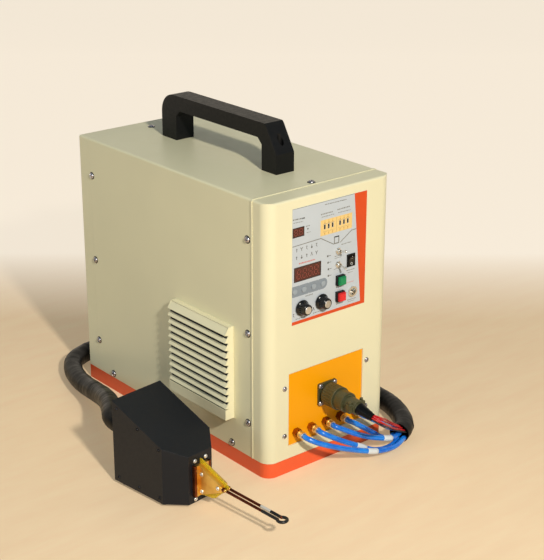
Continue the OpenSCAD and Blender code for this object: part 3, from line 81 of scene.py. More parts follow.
# ---- mesh helpers
def piece(name, verts, faces, mat, body, smooth=True):
    """A mesh object that rides on a body of the frame, or on none."""
    mesh = bpy.data.meshes.new(name)
    mesh.from_pydata([tuple(v) for v in verts], [], faces)
    mesh.update()
    obj = bpy.data.objects.new(name, mesh)
    scene.collection.objects.link(obj)
    mesh.materials.append(mat)
    for p in mesh.polygons:
        p.use_smooth = smooth
    if body:
        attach(obj, body)
    return obj


def angles(n):
    """n even steps round a circle."""
    return [2 * math.pi * k / n for k in range(n)]


def ring_faces(base, rings, n, flip=False, closed=False):
    """Faces between rings of n points each, which follow one another from vertex base on."""
    out = []
    for i in range(rings if closed else rings - 1):
        lo, hi = base + i * n, base + (i + 1) % rings * n
        for k in range(n):
            m = (k + 1) % n
            out.append((lo + k, hi + k, hi + m, lo + m) if flip
                       else (lo + k, lo + m, hi + m, hi + k))
    return out


def cap_face(base, n, flip=False):
    """One face over the ring of n points from vertex base on."""
    face = tuple(range(base, base + n))
    return face[::-1] if flip else face


def spline(points, step):
    """A smooth line through the points, about step apart, straight at both ends."""
    pts = [Vector(p) for p in points]
    pts = [2 * pts[0] - pts[1]] + pts + [2 * pts[-1] - pts[-2]]
    out = []
    for i in range(1, len(pts) - 2):
        p0, p1, p2, p3 = pts[i - 1:i + 3]
        t0 = 0.0
        t1 = t0 + max((p1 - p0).length, 1e-6) ** 0.5
        t2 = t1 + max((p2 - p1).length, 1e-6) ** 0.5
        t3 = t2 + max((p3 - p2).length, 1e-6) ** 0.5
        n = max(2, int((p2 - p1).length / step + 0.5))
        for k in range(n):
            t = t1 + (t2 - t1) * k / n
            a1 = p0 * ((t1 - t) / (t1 - t0)) + p1 * ((t - t0) / (t1 - t0))
            a2 = p1 * ((t2 - t) / (t2 - t1)) + p2 * ((t - t1) / (t2 - t1))
            a3 = p2 * ((t3 - t) / (t3 - t2)) + p3 * ((t - t2) / (t3 - t2))
            b1 = a1 * ((t2 - t) / (t2 - t0)) + a2 * ((t - t0) / (t2 - t0))
            b2 = a2 * ((t3 - t) / (t3 - t1)) + a3 * ((t - t1) / (t3 - t1))
            out.append(b1 * ((t2 - t) / (t2 - t1)) + b2 * ((t - t1) / (t2 - t1)))
    out.append(pts[-2])
    return out


def frames(path, first=None, last=None):
    """Two cross directions at each point of a path, turned as little as possible."""
    n = len(path)
    tang = []
    for i in range(n):
        a, b = path[max(i - 1, 0)], path[min(i + 1, n - 1)]
        tang.append((b - a).normalized())
    if first is not None:
        tang[0] = Vector(first).normalized()
    if last is not None:
        tang[-1] = Vector(last).normalized()
    u = tang[0].cross(UP).normalized()
    out = []
    for t in tang:
        u = (u - t * u.dot(t)).normalized()
        out.append((u, t.cross(u)))
    return out


def path_length(path):
    return sum((b - a).length for a, b in zip(path, path[1:]))


def tube(name, path, radius, sides, mat, body, first=None, last=None, open_start=False):
    """A tube along the path; radius is a number or a function of the length run and the angle."""
    verts = []
    run = 0.0
    for i, (u, v) in enumerate(frames(path, first, last)):
        if i:
            run += (path[i] - path[i - 1]).length
        for a in angles(sides):
            r = radius(run, a) if callable(radius) else radius
            verts.append(path[i] + (u * math.cos(a) + v * math.sin(a)) * r)
    faces = ring_faces(0, len(path), sides)
    if not open_start:
        faces.append(cap_face(0, sides, flip=True))
    faces.append(cap_face((len(path) - 1) * sides, sides))
    return piece(name, verts, faces, mat, body)


# ---- materials
class Nodes:
    """A small builder for a Principled material with object-space detail."""

    def __init__(self, name):
        self.mat = bpy.data.materials.new(name)
        self.mat.use_nodes = True
        self.nt = self.mat.node_tree
        self.bsdf = self.nt.nodes["Principled BSDF"]
        self.geo = self.add("ShaderNodeTexCoord").outputs["Object"]

    def add(self, kind, **props):
        node = self.nt.nodes.new(kind)
        for k, v in props.items():
            setattr(node, k, v)
        return node

    def join(self, a, b):
        self.nt.links.new(a, b)

    def noise(self, scale, detail, rough=0.55, stretch=None, distortion=0.0):
        n = self.add("ShaderNodeTexNoise")
        n.inputs["Scale"].default_value = scale
        n.inputs["Detail"].default_value = detail
        n.inputs["Roughness"].default_value = rough
        n.inputs["Distortion"].default_value = distortion
        source = self.geo
        if stretch:
            m = self.add("ShaderNodeMapping")
            m.inputs["Scale"].default_value = stretch
            self.join(self.geo, m.inputs["Vector"])
            source = m.outputs["Vector"]
        self.join(source, n.inputs["Vector"])
        return n.outputs["Fac"]

    def ramp(self, fac, stops):
        r = self.add("ShaderNodeValToRGB")
        els = r.color_ramp.elements
        while len(els) < len(stops):
            els.new(0.5)
        for e, (pos, col) in zip(els, stops):
            e.position = pos
            e.color = (*col, 1.0)
        self.join(fac, r.inputs["Fac"])
        return r.outputs["Color"]

    def scaled(self, fac, low, high, a=0.3, b=0.7):
        m = self.add("ShaderNodeMapRange")
        m.inputs["From Min"].default_value = a
        m.inputs["From Max"].default_value = b
        m.inputs["To Min"].default_value = low
        m.inputs["To Max"].default_value = high
        self.join(fac, m.inputs["Value"])
        return m.outputs["Result"]

    def bump(self, height, strength, distance, under=None):
        b = self.add("ShaderNodeBump")
        b.inputs["Strength"].default_value = strength
        b.inputs["Distance"].default_value = distance
        self.join(height, b.inputs["Height"])
        if under is not None:
            self.join(under, b.inputs["Normal"])
        return b.outputs["Normal"]

    def mix(self, fac, a, b):
        m = self.add("ShaderNodeMix", data_type="RGBA")
        self.join(fac, m.inputs["Factor"])
        for sock, v in ((m.inputs["A"], a), (m.inputs["B"], b)):
            if isinstance(v, tuple):
                sock.default_value = (*v, 1.0)
            else:
                self.join(v, sock)
        return m.outputs["Result"]

    def rounded(self, radius, samples=3):
        """The normal of edges that look rounded by the radius."""
        b = self.add("ShaderNodeBevel", samples=samples)
        b.inputs["Radius"].default_value = radius
        return b.outputs["Normal"]

    def calc(self, operation, a, b):
        m = self.add("ShaderNodeMath", operation=operation)
        self.join(a, m.inputs[0])
        self.join(b, m.inputs[1])
        return m.outputs["Value"]

    def feed(self, source, name):
        """Join an output to an input of the shader."""
        self.join(source, self.bsdf.inputs[name])

    def put(self, name, value):
        self.bsdf.inputs[name].default_value = value


def lin(r, g, b):
    """A linear colour from 0 to 255 screen values."""
    def f(c):
        c /= 255.0
        return c / 12.92 if c <= 0.04045 else ((c + 0.055) / 1.055) ** 2.4
    return (f(r), f(g), f(b))


def shade(col, k):
    return tuple(min(1.0, c * k) for c in col)


def edge_mask(n, normal):
    """Light along edges: how far the rounded normal leaves the true one."""
    geo = n.add("ShaderNodeNewGeometry")
    dot = n.add("ShaderNodeVectorMath", operation="DOT_PRODUCT")
    n.join(normal, dot.inputs[0])
    n.join(geo.outputs["Normal"], dot.inputs[1])
    return n.scaled(dot.outputs["Value"], 1.0, 0.0, 0.80, 0.995)


def painted(name, col, rough, grain, bump, patch, edge=None):
    """Stove enamel: fine orange peel, faint patches, rounded and slightly rubbed edges."""
    n = Nodes(name)
    base = n.ramp(n.noise(6.0, 2.0),
                  [(0.3, shade(col, 1 - patch)), (0.7, shade(col, 1 + patch * 0.5))])
    normal = n.rounded(0.0009, 4)
    if edge is not None:
        worn = n.calc("MULTIPLY", edge_mask(n, normal),
                      n.scaled(n.noise(55.0, 4.0), 0.0, 0.8, 0.42, 0.7))
        base = n.mix(worn, base, edge)
    n.feed(base, "Base Color")
    n.feed(n.scaled(n.noise(grain * 0.25, 3.0), rough - 0.05, rough + 0.06), "Roughness")
    n.feed(n.bump(n.noise(grain, 2.0), bump, 0.0004, normal), "Normal")
    return n.mat


def plastic(name, col, rough, grain, bump, bevel=0.0005, patch=0.15):
    n = Nodes(name)
    base = n.ramp(n.noise(30.0, 3.0), [(0.3, shade(col, 1 - patch)), (0.7, shade(col, 1 + patch))])
    n.feed(base, "Base Color")
    n.feed(n.scaled(n.noise(180.0, 3.0), rough - 0.06, rough + 0.08), "Roughness")
    n.feed(n.bump(n.noise(grain, 2.0), bump, 0.0003, n.rounded(bevel)), "Normal")
    return n.mat


def metal(name, col, rough, brush=(1, 1, 1), dark=0.75, tint=None):
    """Metal with fine brush or turning marks and a slightly dulled patchy finish."""
    n = Nodes(name)
    marks = 300.0
    base = n.ramp(n.noise(45.0, 4.0), [(0.3, tint or shade(col, dark)), (0.65, col)])
    n.feed(base, "Base Color")
    n.put("Metallic", 1.0)
    n.feed(n.scaled(n.noise(marks, 4.0, stretch=brush), rough - 0.08, rough + 0.12), "Roughness")
    n.feed(n.bump(n.noise(marks, 3.0, stretch=brush), 0.08, 0.0002, n.rounded(0.0003)), "Normal")
    return n.mat


def rubber(name, col, rough, fold=0.0):
    n = Nodes(name)
    dust = n.noise(70.0, 5.0, 0.65)
    n.feed(n.ramp(dust, [(0.35, shade(col, 0.8)), (0.8, shade(col, 1.5))]), "Base Color")
    n.feed(n.scaled(n.noise(40.0, 4.0), rough - 0.1, rough + 0.15), "Roughness")
    normal = n.bump(n.noise(160.0, 5.0, 0.6, distortion=0.6), 0.35, 0.0006)
    if fold:
        normal = n.bump(n.noise(60.0, 3.0, 0.5, distortion=1.2), fold, 0.0015, normal)
    n.feed(normal, "Normal")
    return n.mat


def display_glass():
    """Red filter glass: dark, glossy, with a faint fine grid under it."""
    n = Nodes("red_filter")
    col, segment = lin(64, 17, 15), lin(84, 25, 21)
    grid = n.add("ShaderNodeTexWave", wave_type="BANDS", bands_direction="X")
    grid.inputs["Scale"].default_value = 260.0
    n.join(n.geo, grid.inputs["Vector"])
    base = n.ramp(grid.outputs["Fac"], [(0.3, shade(col, 0.85)), (0.7, shade(col, 1.1))])
    n.feed(n.mix(n.scaled(n.noise(60.0, 2.0), 0.0, 1.0), base, segment), "Base Color")
    n.feed(n.scaled(n.noise(40.0, 2.0), 0.14, 0.22), "Roughness")
    n.feed(n.bump(n.noise(90.0, 2.0), 0.05, 0.0003), "Normal")
    n.put("Coat Weight", 0.4)
    return n.mat


def hose_plastic():
    """Blue polyurethane hose: glossy and a little deep."""
    n = Nodes("blue_hose")
    base = n.ramp(n.noise(60.0, 3.0), [(0.3, lin(14, 100, 212)), (0.7, lin(34, 146, 244))])
    n.feed(base, "Base Color")
    n.feed(n.scaled(n.noise(120.0, 3.0), 0.16, 0.28), "Roughness")
    n.feed(n.bump(n.noise(300.0, 3.0), 0.06, 0.0002), "Normal")
    n.put("Subsurface Weight", 0.25)
    n.put("Subsurface Radius", (0.001, 0.0015, 0.004))
    n.put("Coat Weight", 0.3)
    return n.mat


def amber_sheet():
    """Yellow glass-cloth sheet, a little see-through."""
    n = Nodes("amber_sheet")
    weave = n.add("ShaderNodeTexWave", wave_type="BANDS", bands_direction="DIAGONAL")
    weave.inputs["Scale"].default_value = 420.0
    n.join(n.geo, weave.inputs["Vector"])
    base = n.ramp(weave.outputs["Fac"], [(0.3, lin(244, 204, 20)), (0.7, lin(255, 232, 64))])
    n.feed(base, "Base Color")
    n.feed(n.scaled(n.noise(80.0, 3.0), 0.2, 0.32), "Roughness")
    n.feed(n.bump(weave.outputs["Fac"], 0.1, 0.0002), "Normal")
    n.put("Transmission Weight", 0.35)
    n.put("IOR", 1.45)
    return n.mat


# roughness, grain, bump, edge radius and, for the last two, patchiness of the small plastics
FILM = (0.42, 1500.0, 0.06, 0.0001)
INK = (0.5, 900.0, 0.02, 0.0001, 0.1)
CAP = (0.30, 700.0, 0.05, 0.0006, 0.08)
M = {
    "cream": painted("cream_enamel", lin(238, 231, 194), 0.42, 420.0, 0.10, 0.035,
                     lin(205, 196, 160)),
    "orange": painted("orange_enamel", lin(250, 98, 50), 0.38, 420.0, 0.10, 0.06, lin(180, 60, 30)),
    "yellow": painted("yellow_enamel", lin(255, 168, 0), 0.40, 420.0, 0.10, 0.05,
                      lin(190, 120, 10)),
    "dark": painted("dark_enamel", lin(24, 27, 33), 0.42, 700.0, 0.22, 0.2, lin(66, 68, 74)),
    "olive": painted("olive_plating", lin(74, 73, 46), 0.36, 900.0, 0.25, 0.2, lin(150, 146, 110)),
    "iron": painted("core_iron", lin(60, 60, 62), 0.6, 500.0, 0.4, 0.3),
    "film": plastic("overlay_film", lin(198, 205, 211), *FILM, 0.02),
    "band": plastic("orange_band", lin(222, 76, 20), *FILM, 0.04),
    "field": plastic("amber_field", lin(240, 205, 132), *FILM, 0.03),
    "strip": plastic("grey_strip", lin(136, 146, 156), 0.40, 1500.0, 0.06, 0.0001, 0.04),
    "key": plastic("key_grey", lin(158, 168, 176), 0.38, 1200.0, 0.06, 0.0003, 0.04),
    "ink": plastic("grey_ink", lin(92, 92, 88), *INK),
    # grey print, also the painted shadow line along the top of the overlay
    "ink_soft_and_shadow": plastic("soft_ink_and_shadow", lin(128, 128, 122), *INK),
    "ink_red": plastic("red_ink", lin(205, 110, 105), *INK),
    "ink_brown": plastic("brown_ink", lin(196, 150, 78), *INK),
    "segment": plastic("unlit_segment", lin(134, 52, 42), 0.4, 900.0, 0.05, 0.0001, 0.08),
    "green_cap": plastic("green_cap", lin(0, 140, 85), *CAP),
    "red_cap": plastic("red_cap", lin(235, 40, 45), *CAP),
    "black": plastic("black_plastic", lin(9, 9, 10), 0.46, 1100.0, 0.3),
    "gloss": plastic("black_gloss", lin(13, 13, 14), 0.2, 700.0, 0.08),
    # black of the display rims, also used as painted shade in the louvre gaps
    "recess": plastic("rim_black_and_painted_shade", lin(10, 10, 10), 0.6, 900.0, 0.1, 0.0001, 0.2),
    "white": plastic("white_plastic", lin(226, 226, 220), 0.42, 900.0, 0.15, patch=0.03),
    "tag": plastic("white_tag", lin(222, 226, 226), 0.5, 1100.0, 0.25, 0.0002, 0.05),
    "glass_sleeve": plastic("glass_sleeve", lin(214, 208, 196), 0.6, 1400.0, 0.5, 0.0002, 0.12),
    "board": plastic("board_green", lin(25, 85, 50), 0.35, 300.0, 0.3, patch=0.3),
    "red_wire": plastic("red_wire", lin(190, 22, 28), 0.38, 900.0, 0.1, 0.0002, 0.15),
    "black_wire": plastic("black_wire", lin(26, 25, 27), 0.42, 900.0, 0.1, 0.0002, 0.2),
    "rubber": rubber("black_rubber", lin(22, 22, 23), 0.55),
    "sleeve": rubber("sleeve_rubber", lin(6, 7, 8), 0.38, 0.05),
    "lacquer": rubber("coil_black", lin(18, 18, 19), 0.34, 0.1),
    "steel": metal("bright_steel", lin(200, 201, 204), 0.30, (1, 1, 6)),
    "chrome": metal("chromed_brass", lin(226, 224, 218), 0.16, (1, 6, 1), dark=0.85),
    "nickel": metal("nickel", lin(238, 232, 222), 0.28, (1, 5, 1), dark=0.7),
    "brass": metal("brass", lin(255, 216, 124), 0.38, (1, 1, 5), tint=lin(226, 172, 84)),
    "fitting": metal("fitting_brass", lin(176, 118, 76), 0.20, (1, 6, 1), tint=lin(84, 48, 34)),
    "copper": metal("heated_copper", lin(140, 70, 46), 0.40, tint=lin(72, 34, 24)),
    "root_copper": metal("root_copper", lin(156, 90, 54), 0.36, tint=lin(92, 46, 30)),
    "alu": metal("aluminium", lin(205, 206, 208), 0.36, (1, 8, 1)),
    "screw": metal("zinc_screw", lin(196, 192, 198), 0.26, dark=0.55),
    "bright_screw": metal("bright_screw", lin(244, 242, 238), 0.46, dark=0.7),
    "dark_screw": metal("blackened_screw", lin(58, 58, 62), 0.34, dark=0.5),
    "cap": metal("silver_cap", lin(240, 239, 235), 0.42, dark=0.6),
    "glass": display_glass(),
    "hose": hose_plastic(),
    "amber": amber_sheet(),
}
for look, level in (("sleeve", 0.16), ("black", 0.28), ("dark", 0.28), ("yellow", 0.28)):
    shader = M[look].node_tree.nodes["Principled BSDF"]
    shader.inputs["Specular IOR Level"].default_value = level


def node_object(name):
    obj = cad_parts[name]
    return bpy.data.objects[obj] if isinstance(obj, str) else obj


def paint(obj, mat):
    if not obj.material_slots:
        obj.data.materials.append(mat)
    for s in obj.material_slots:
        s.material = mat


NODE_LOOKS = {
    "cream": ["side_cover", "rear_panel", "front_bezel", "louvre_hood"],
    "orange": ["base_tray"],
    "yellow": ["connector_plate"],
    "dark": ["head_case"],
    "film": ["panel_overlay"],
    "black": ["carry_handle", "wheel_block", "rocker_frame", "button_bodies", "head_gland",
              "cable_gland", "fan_frame", "fan_rotor"],
    "gloss": ["thumbwheel_1", "thumbwheel_2", "thumbwheel_3", "thumbwheel_4", "thumbwheel_5",
              "thumbwheel_6", "power_rocker", "knob_left", "knob_right", "breaker_lever"],
    "key": ["key_1", "key_2", "key_3", "key_4"],
    "rubber": ["head_feet"],
    "steel": ["handle_screws", "cover_screws", "potentiometers", "head_screws"],
    "chrome": ["toggle_bodies", "toggle_upper", "toggle_lower", "foot_switch_socket"],
    "brass": ["terminal_left", "terminal_right", "water_nozzles"],
    "copper": ["work_coil"],
    "fitting": ["hose_fittings"],
    "olive": ["signal_socket", "coupling_ring", "plug_shell"],
    "glass": ["display_small", "display_large"],
    "green_cap": ["start_button"],
    "red_cap": ["stop_button"],
    "amber": ["insulator_sheet"],
    "iron": ["head_transformer"],
    "white": ["circuit_breaker"],
    "alu": ["cold_plate"],
    "board": ["power_board", "control_board"],
}
for look, names in NODE_LOOKS.items():
    for node_name in names:
        paint(node_object(node_name), M[look])


# ---- the free hoses, wires and sleeve, along the routes of their solids
def mm(points):
    return [Vector(p) * MM for p in points]


MOUTH = Vector((112, -267, 17))
MOUTH_DIR = Vector((0.9, 0.44, 0)).normalized()
MOUTH_U = MOUTH_DIR.cross(UP).normalized()
FITTING_XS = [-60.1 + 28 * i for i in range(5)]
FITTING_Z = 60.035
BOOT_START, BOOT_END = Vector((-2, -297.3, 106.03)), Vector((2, -321.3, 99.03))
BOOT_DIR = Vector((4, -24, -7)).normalized()
HOSE_SEATS = [(8, -6), (-1, -10), (0, 0), (-9, -4), (-6, 8)]
HOSE_RUNS = [
    [(-60, -252, 59), (-50, -262, 53), (-25, -273, 42), (10, -280, 28), (50, -287, 16),
     (85, -285, 11)],
    [(-32, -251, 59), (-24, -258, 54), (-4, -266, 42), (22, -272, 28), (52, -277, 13),
     (84, -275, 7)],
    [(-4, -250, 59), (4, -256, 55), (22, -265, 45), (45, -270, 34), (68, -274, 26), (90, -275, 20)],
    [(24, -249, 59), (31, -252, 55), (46, -257, 44), (62, -260, 32), (80, -262, 19),
     (95, -265, 14)],
    [(52, -250, 59), (58, -254, 56), (70, -259, 48), (82, -261, 39), (94, -262, 31),
     (104, -265, 27)]]
WIRE_RUNS = [
    [(8, -331, 93), (30, -322, 78), (56, -300, 60), (84, -280, 40)],
    [(12, -328, 95), (34, -316, 80), (60, -294, 62), (88, -274, 42)]]
# each wire: its look, its run, its places in the boot and in the mouth, its shifts from the run
WIRES = [
    ("red_wire", 0, (1.82, 0), (8, 6), None),
    ("red_wire", 1, (-1.82, 0), (4, 9), None),
    ("red_wire", 0, (0.2, 2.7), (5.2, 6.2),
     [(1.5, -2.4, 0), (2.6, -3.0, -1), (2.4, -2.6, -1.5), (1.8, -2.2, -1)]),
    ("black_wire", 0, (0.4, -2.7), (10.5, 3.5),
     [(-0.5, -1, -2.9), (0.4, -0.6, -3.3), (0, -0.4, -3.3), (0.4, -0.8, -2.8)]),
    ("red_wire", 1, (-2.4, 2.8), (1, 11),
     [(1.4, 2.9, 1.6), (2.2, 3.4, 2.0), (1.8, 3.2, 1.8), (1.4, 2.9, 1.6)])]
SLEEVE_RUN = [
    (130, -257, 17), (146, -240, 17), (160, -216, 17), (170, -188, 17), (175, -150, 17),
    (176, -90, 17), (176, -20, 17), (176, 50, 17), (176, 120, 17), (174, 180, 17), (165, 230, 17),
    (142, 268, 17), (105, 286, 17), (45, 290, 17), (-25, 290, 17), (-85, 286, 17), (-120, 270, 17),
    (-140, 244, 17), (-156, 205, 19), (-167, 165, 24), (-177, 120, 32), (-190, 76, 43),
    (-206, 36, 53), (-225, 0, 60), (-240, -28, 62)]
HEAD = Matrix.Translation((-0.240, -0.0895, 0)) @ Matrix.Rotation(math.radians(6.72), 4, "Z")
HEAD_DEPTH = 129.6


def in_mouth(a, b):
    return MOUTH + MOUTH_U * a + Vector((0, 0, b))


def on_head(x, y, z):
    """A point of the work head, in millimetres from its rear end, in the frame of the part."""
    return HEAD @ Vector((x * MM, y * MM, z * MM))


def make_hoses():
    paths = []
    for i, (x, run, seat) in enumerate(zip(FITTING_XS, HOSE_RUNS, HOSE_SEATS)):
        path = spline(mm([(x, -246, FITTING_Z), *run, in_mouth(*seat)]), 0.003)
        obj = tube(f"water_hose_{i + 1}", path, 0.004, 20, M["hose"], "cabinet",
                   first=(0, -1, 0), last=MOUTH_DIR)
        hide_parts("water_hoses")
        paths.append(path)
    return paths


def make_wires():
    u = BOOT_DIR.cross(UP).normalized()
    v = u.cross(BOOT_DIR)
    for i, (look, base, place_in_boot, seat, shifts) in enumerate(WIRES):
        run = [Vector(p) for p in WIRE_RUNS[base]]
        if shifts:
            run = [p + Vector(d) for p, d in zip(run, shifts)]
        start = BOOT_END + u * place_in_boot[0] + v * place_in_boot[1]
        path = spline(mm([start, *run, in_mouth(*seat)]), 0.002)
        obj = tube(f"control_wire_{i + 1}", path, 0.0013, 12, M[look], "cabinet",
                   first=BOOT_DIR, last=MOUTH_DIR)
        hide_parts("control_wires")


def make_sleeve():
    path = spline(mm([MOUTH, *SLEEVE_RUN, on_head(0, 20.3, 62) / MM]), 0.0028)
    away = (on_head(0, 0, 0) - on_head(0, 1, 0)).normalized()

    def radius(run, a):
        x, y = math.cos(a), math.sin(a)
        p = Vector((x * 0.9, y * 0.9, run * 62.0))
        ring = noise.noise(Vector((run * 230.0, x * 0.55, y * 0.55 + 5.0)))
        fold = noise.noise(p * 1.3 + Vector((3.1, 0.2, 7.7)))
        return 0.0154 + 0.00038 * ring + 0.00032 * fold

    obj = tube("bundle_sleeve_skin", path, radius, 40, M["sleeve"], None,
               first=MOUTH_DIR, last=away, open_start=True)
    return obj, path


def open_mouth():
    """The sleeve's cut end with its inner wall, round the hoses that go into it."""
    verts, n = [], 40
    rings = [(0.0154, 0.0002), (0.0150, -0.0006), (0.0140, -0.0004), (0.0136, 0.004),
             (0.0132, 0.030)]
    for r, d in rings:
        c = MOUTH * MM + MOUTH_DIR * d
        verts += [c + (MOUTH_U * math.cos(a) + UP * math.sin(a)) * r for a in angles(n)]
    faces = ring_faces(0, len(rings), n, flip=True)
    faces.append(cap_face((len(rings) - 1) * n, n))
    return piece("sleeve_mouth", verts, faces, M["sleeve"], "cabinet")


hose_paths = make_hoses()
make_wires()
sleeve, sleeve_path = make_sleeve()
mouth_piece = open_mouth()
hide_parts("bundle_sleeve")
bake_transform(sleeve)


# ---- printed marks on the front overlay and a painted shadow line along its top, as thin ink sunk a little into the film
OVER_Y = -230.4
MARK_Y, FINE_Y, BACK_Y = OVER_Y - 0.03, OVER_Y - 0.055, OVER_Y + 0.15
WHEEL_X = [-12.06, -4.76, 2.54, 16.51, 23.81, 31.11]
# x and z of both ends of a line of print, its height and the widths of its bars
GREY_PRINT = [
    (-70.4, 383.2, -49.4, 382.2, 1.8, (2.6, 1.6, 3.4, 1.2)),
    (-69.4, 379.0, -52, 378.2, 0.9, (3.2, 4.2, 2.4)),
    (-12.5, 393.8, 28, 393.2, 1.1, (4.2, 3.0, 5.4, 2.2, 3.4)),
    (-19.4, 380.4, 3.2, 380.6, 1.7, (2.4, 1.4, 1.9)),
    (-18, 376.8, 5, 376.8, 0.9, (3.4, 2.2, 4.4)),
    (11, 381.4, 34, 381.6, 1.7, (2.1, 2.6, 1.5)),
    (12.6, 377.0, 36, 376.6, 0.9, (2.8, 3.6, 2.0)),
    (-46.6, 369.6, -39.2, 369.6, 1.5, (1.8, 1.2)),
    (-45.4, 360.4, -38.4, 360.4, 0.9, (2.6, 1.5)),
    (19.8, 328.4, 39.4, 328.4, 1.1, (3.6, 1.6, 2.4, 1.4)),
    (7.6, 313.2, 20.0, 312.6, 1.0, (2.6, 1.4)),
    (7.4, 310.4, 19.8, 310.2, 0.9, (1.8, 3.0)),
    (6.4, 294.2, 11.6, 294.2, 1.0, (1.6, 1.2)),
    (15.8, 294.2, 20.6, 294.2, 1.0, (1.2, 1.8)),
    (30.4, 286.2, 46.6, 286.2, 1.2, (3.0, 2.0, 1.4)),
    (33.4, 282.8, 42.4, 282.8, 0.8, (4.0, 2.2)),
    (11.0, 265.0, 22.6, 265.0, 1.3, (2.2, 1.2, 1.8)),
    (11.6, 239.6, 24.0, 239.6, 1.5, (2.0, 1.4)),
    (-46.2, 266.8, -32.0, 266.8, 1.5, (2.0, 1.6, 2.6)),
    (-64.0, 236.6, -46.2, 236.6, 1.1, (2.4, 1.6, 3.0)),
    (-31.8, 237.4, -8.6, 237.4, 1.2, (2.0, 2.8, 1.4)),
    (33.4, 240.4, 50.0, 240.4, 1.3, (2.6, 1.6)),
    (34.6, 237.8, 48.0, 237.8, 0.8, (3.0, 1.8))]
RED_PRINT = [
    (-58.6, 317.6, -29.4, 317.2, 1.9, (2.2, 1.6, 3.0, 1.2), 0.8),
    (30.2, 267.6, 45.0, 267.6, 0.8, (2.2, 1.4)),
    (13.6, 261.2, 20.4, 261.2, 0.7, (1.6, 1.2))]
# line signs for the ways of working: strokes with their widths, and a dot
SIGNS = [
    ([([(0, -2.6), (0, 2.6)], 1.0), ([(-1.4, 1.2), (1.4, 1.2)], 0.7)], None),
    ([([(-2.2, 2.6), (0, 0), (2.2, 2.6)], 0.9), ([(0, -2.7), (0, 0)], 0.9)], None),
    ([([(-1.6, 2.4), (0.6, 2.4), (-0.8, -0.2), (1.0, -2.6)], 0.8)], None),
    ([([(0, 0.4), (0, 2.6)], 0.9)], (-1.2, 1.5, 14)),
    ([([(-1.8, -2.4), (0, 1.8), (1.8, -2.4)], 0.8)], (2.2, 0.8, 10))]


def slab(name, outlines, look, y_out, y_in=BACK_Y):
    """Closed flat prisms from outlines in x and z, all in one mesh."""
    verts, faces = [], []
    for outline in outlines:
        area = sum(a[0] * b[1] - b[0] * a[1] for a, b in zip(outline, outline[1:] + outline[:1]))
        pts = outline if area > 0 else outline[::-1]
        n, base = len(pts), len(verts)
        for y in (y_out, y_in):
            verts += [Vector((x, y, z)) * MM for x, z in pts]
        faces += [cap_face(base, n), cap_face(base + n, n, flip=True)]
        faces += ring_faces(base, 2, n, flip=True)
    obj = piece(name, verts, faces, M[look], "cabinet", False)


def rect(x0, z0, x1, z1):
    return [(x0, z0), (x1, z0), (x1, z1), (x0, z1)]


def stroke(points, w):
    """Outlines of a line of width w through the points, one per stretch, with mitred corners."""
    out = []
    pts = [Vector(p) for p in points]
    sides = []
    for i, p in enumerate(pts):
        d0 = (p - pts[i - 1]).normalized() if i else (pts[1] - p).normalized()
        d1 = (pts[i + 1] - p).normalized() if i < len(pts) - 1 else d0
        n = (Vector((-d0.y, d0.x)) + Vector((-d1.y, d1.x))).normalized()
        k = w / 2 / max(0.4, n.dot(Vector((-d0.y, d0.x))))
        sides.append((tuple(p + n * k), tuple(p - n * k)))
    for (a, b), (c, d) in zip(sides, sides[1:]):
        out.append([a, b, d, c])
    return out


def disc(x, z, r, n):
    return [(x + r * math.cos(a), z + r * math.sin(a)) for a in angles(n)]


def dashes(x0, z0, x1, z1, h, widths, gap=0.9):
    """A broken line of small bars along a stretch, in place of a line of print."""
    out, x, i = [], x0, 0
    while x < x1 - 0.3:
        w = widths[i % len(widths)]
        e = min(x + w, x1)
        za = z0 + (z1 - z0) * (x - x0) / (x1 - x0)
        out.append([(x, za), (e, za), (e, za + h), (x, za + h)])
        x = e + gap
        i += 1
    return out


def grid_with_windows(x0, z0, x1, z1, windows):
    """Rectangles that fill a field round its windows."""
    xs = sorted({x0, x1, *(w[0] for w in windows), *(w[2] for w in windows)})
    lo, hi = windows[0][1], windows[0][3]
    out = [rect(x0, z0, x1, lo), rect(x0, hi, x1, z1)]
    for a, b in zip(xs, xs[1:]):
        if not any(abs(a - w[0]) < 1e-6 and abs(b - w[2]) < 1e-6 for w in windows):
            out.append(rect(a, lo, b, hi))
    return out


def pictogram(kind, x, z):
    """A small line sign for a way of working, round a point."""
    strokes, dot = SIGNS[kind]
    out = []
    for points, width in strokes:
        out += stroke([(x + u, z + v) for u, v in points], width)
    if dot:
        v, r, n = dot
        out.append(disc(x, z + v, r, n))
    return out


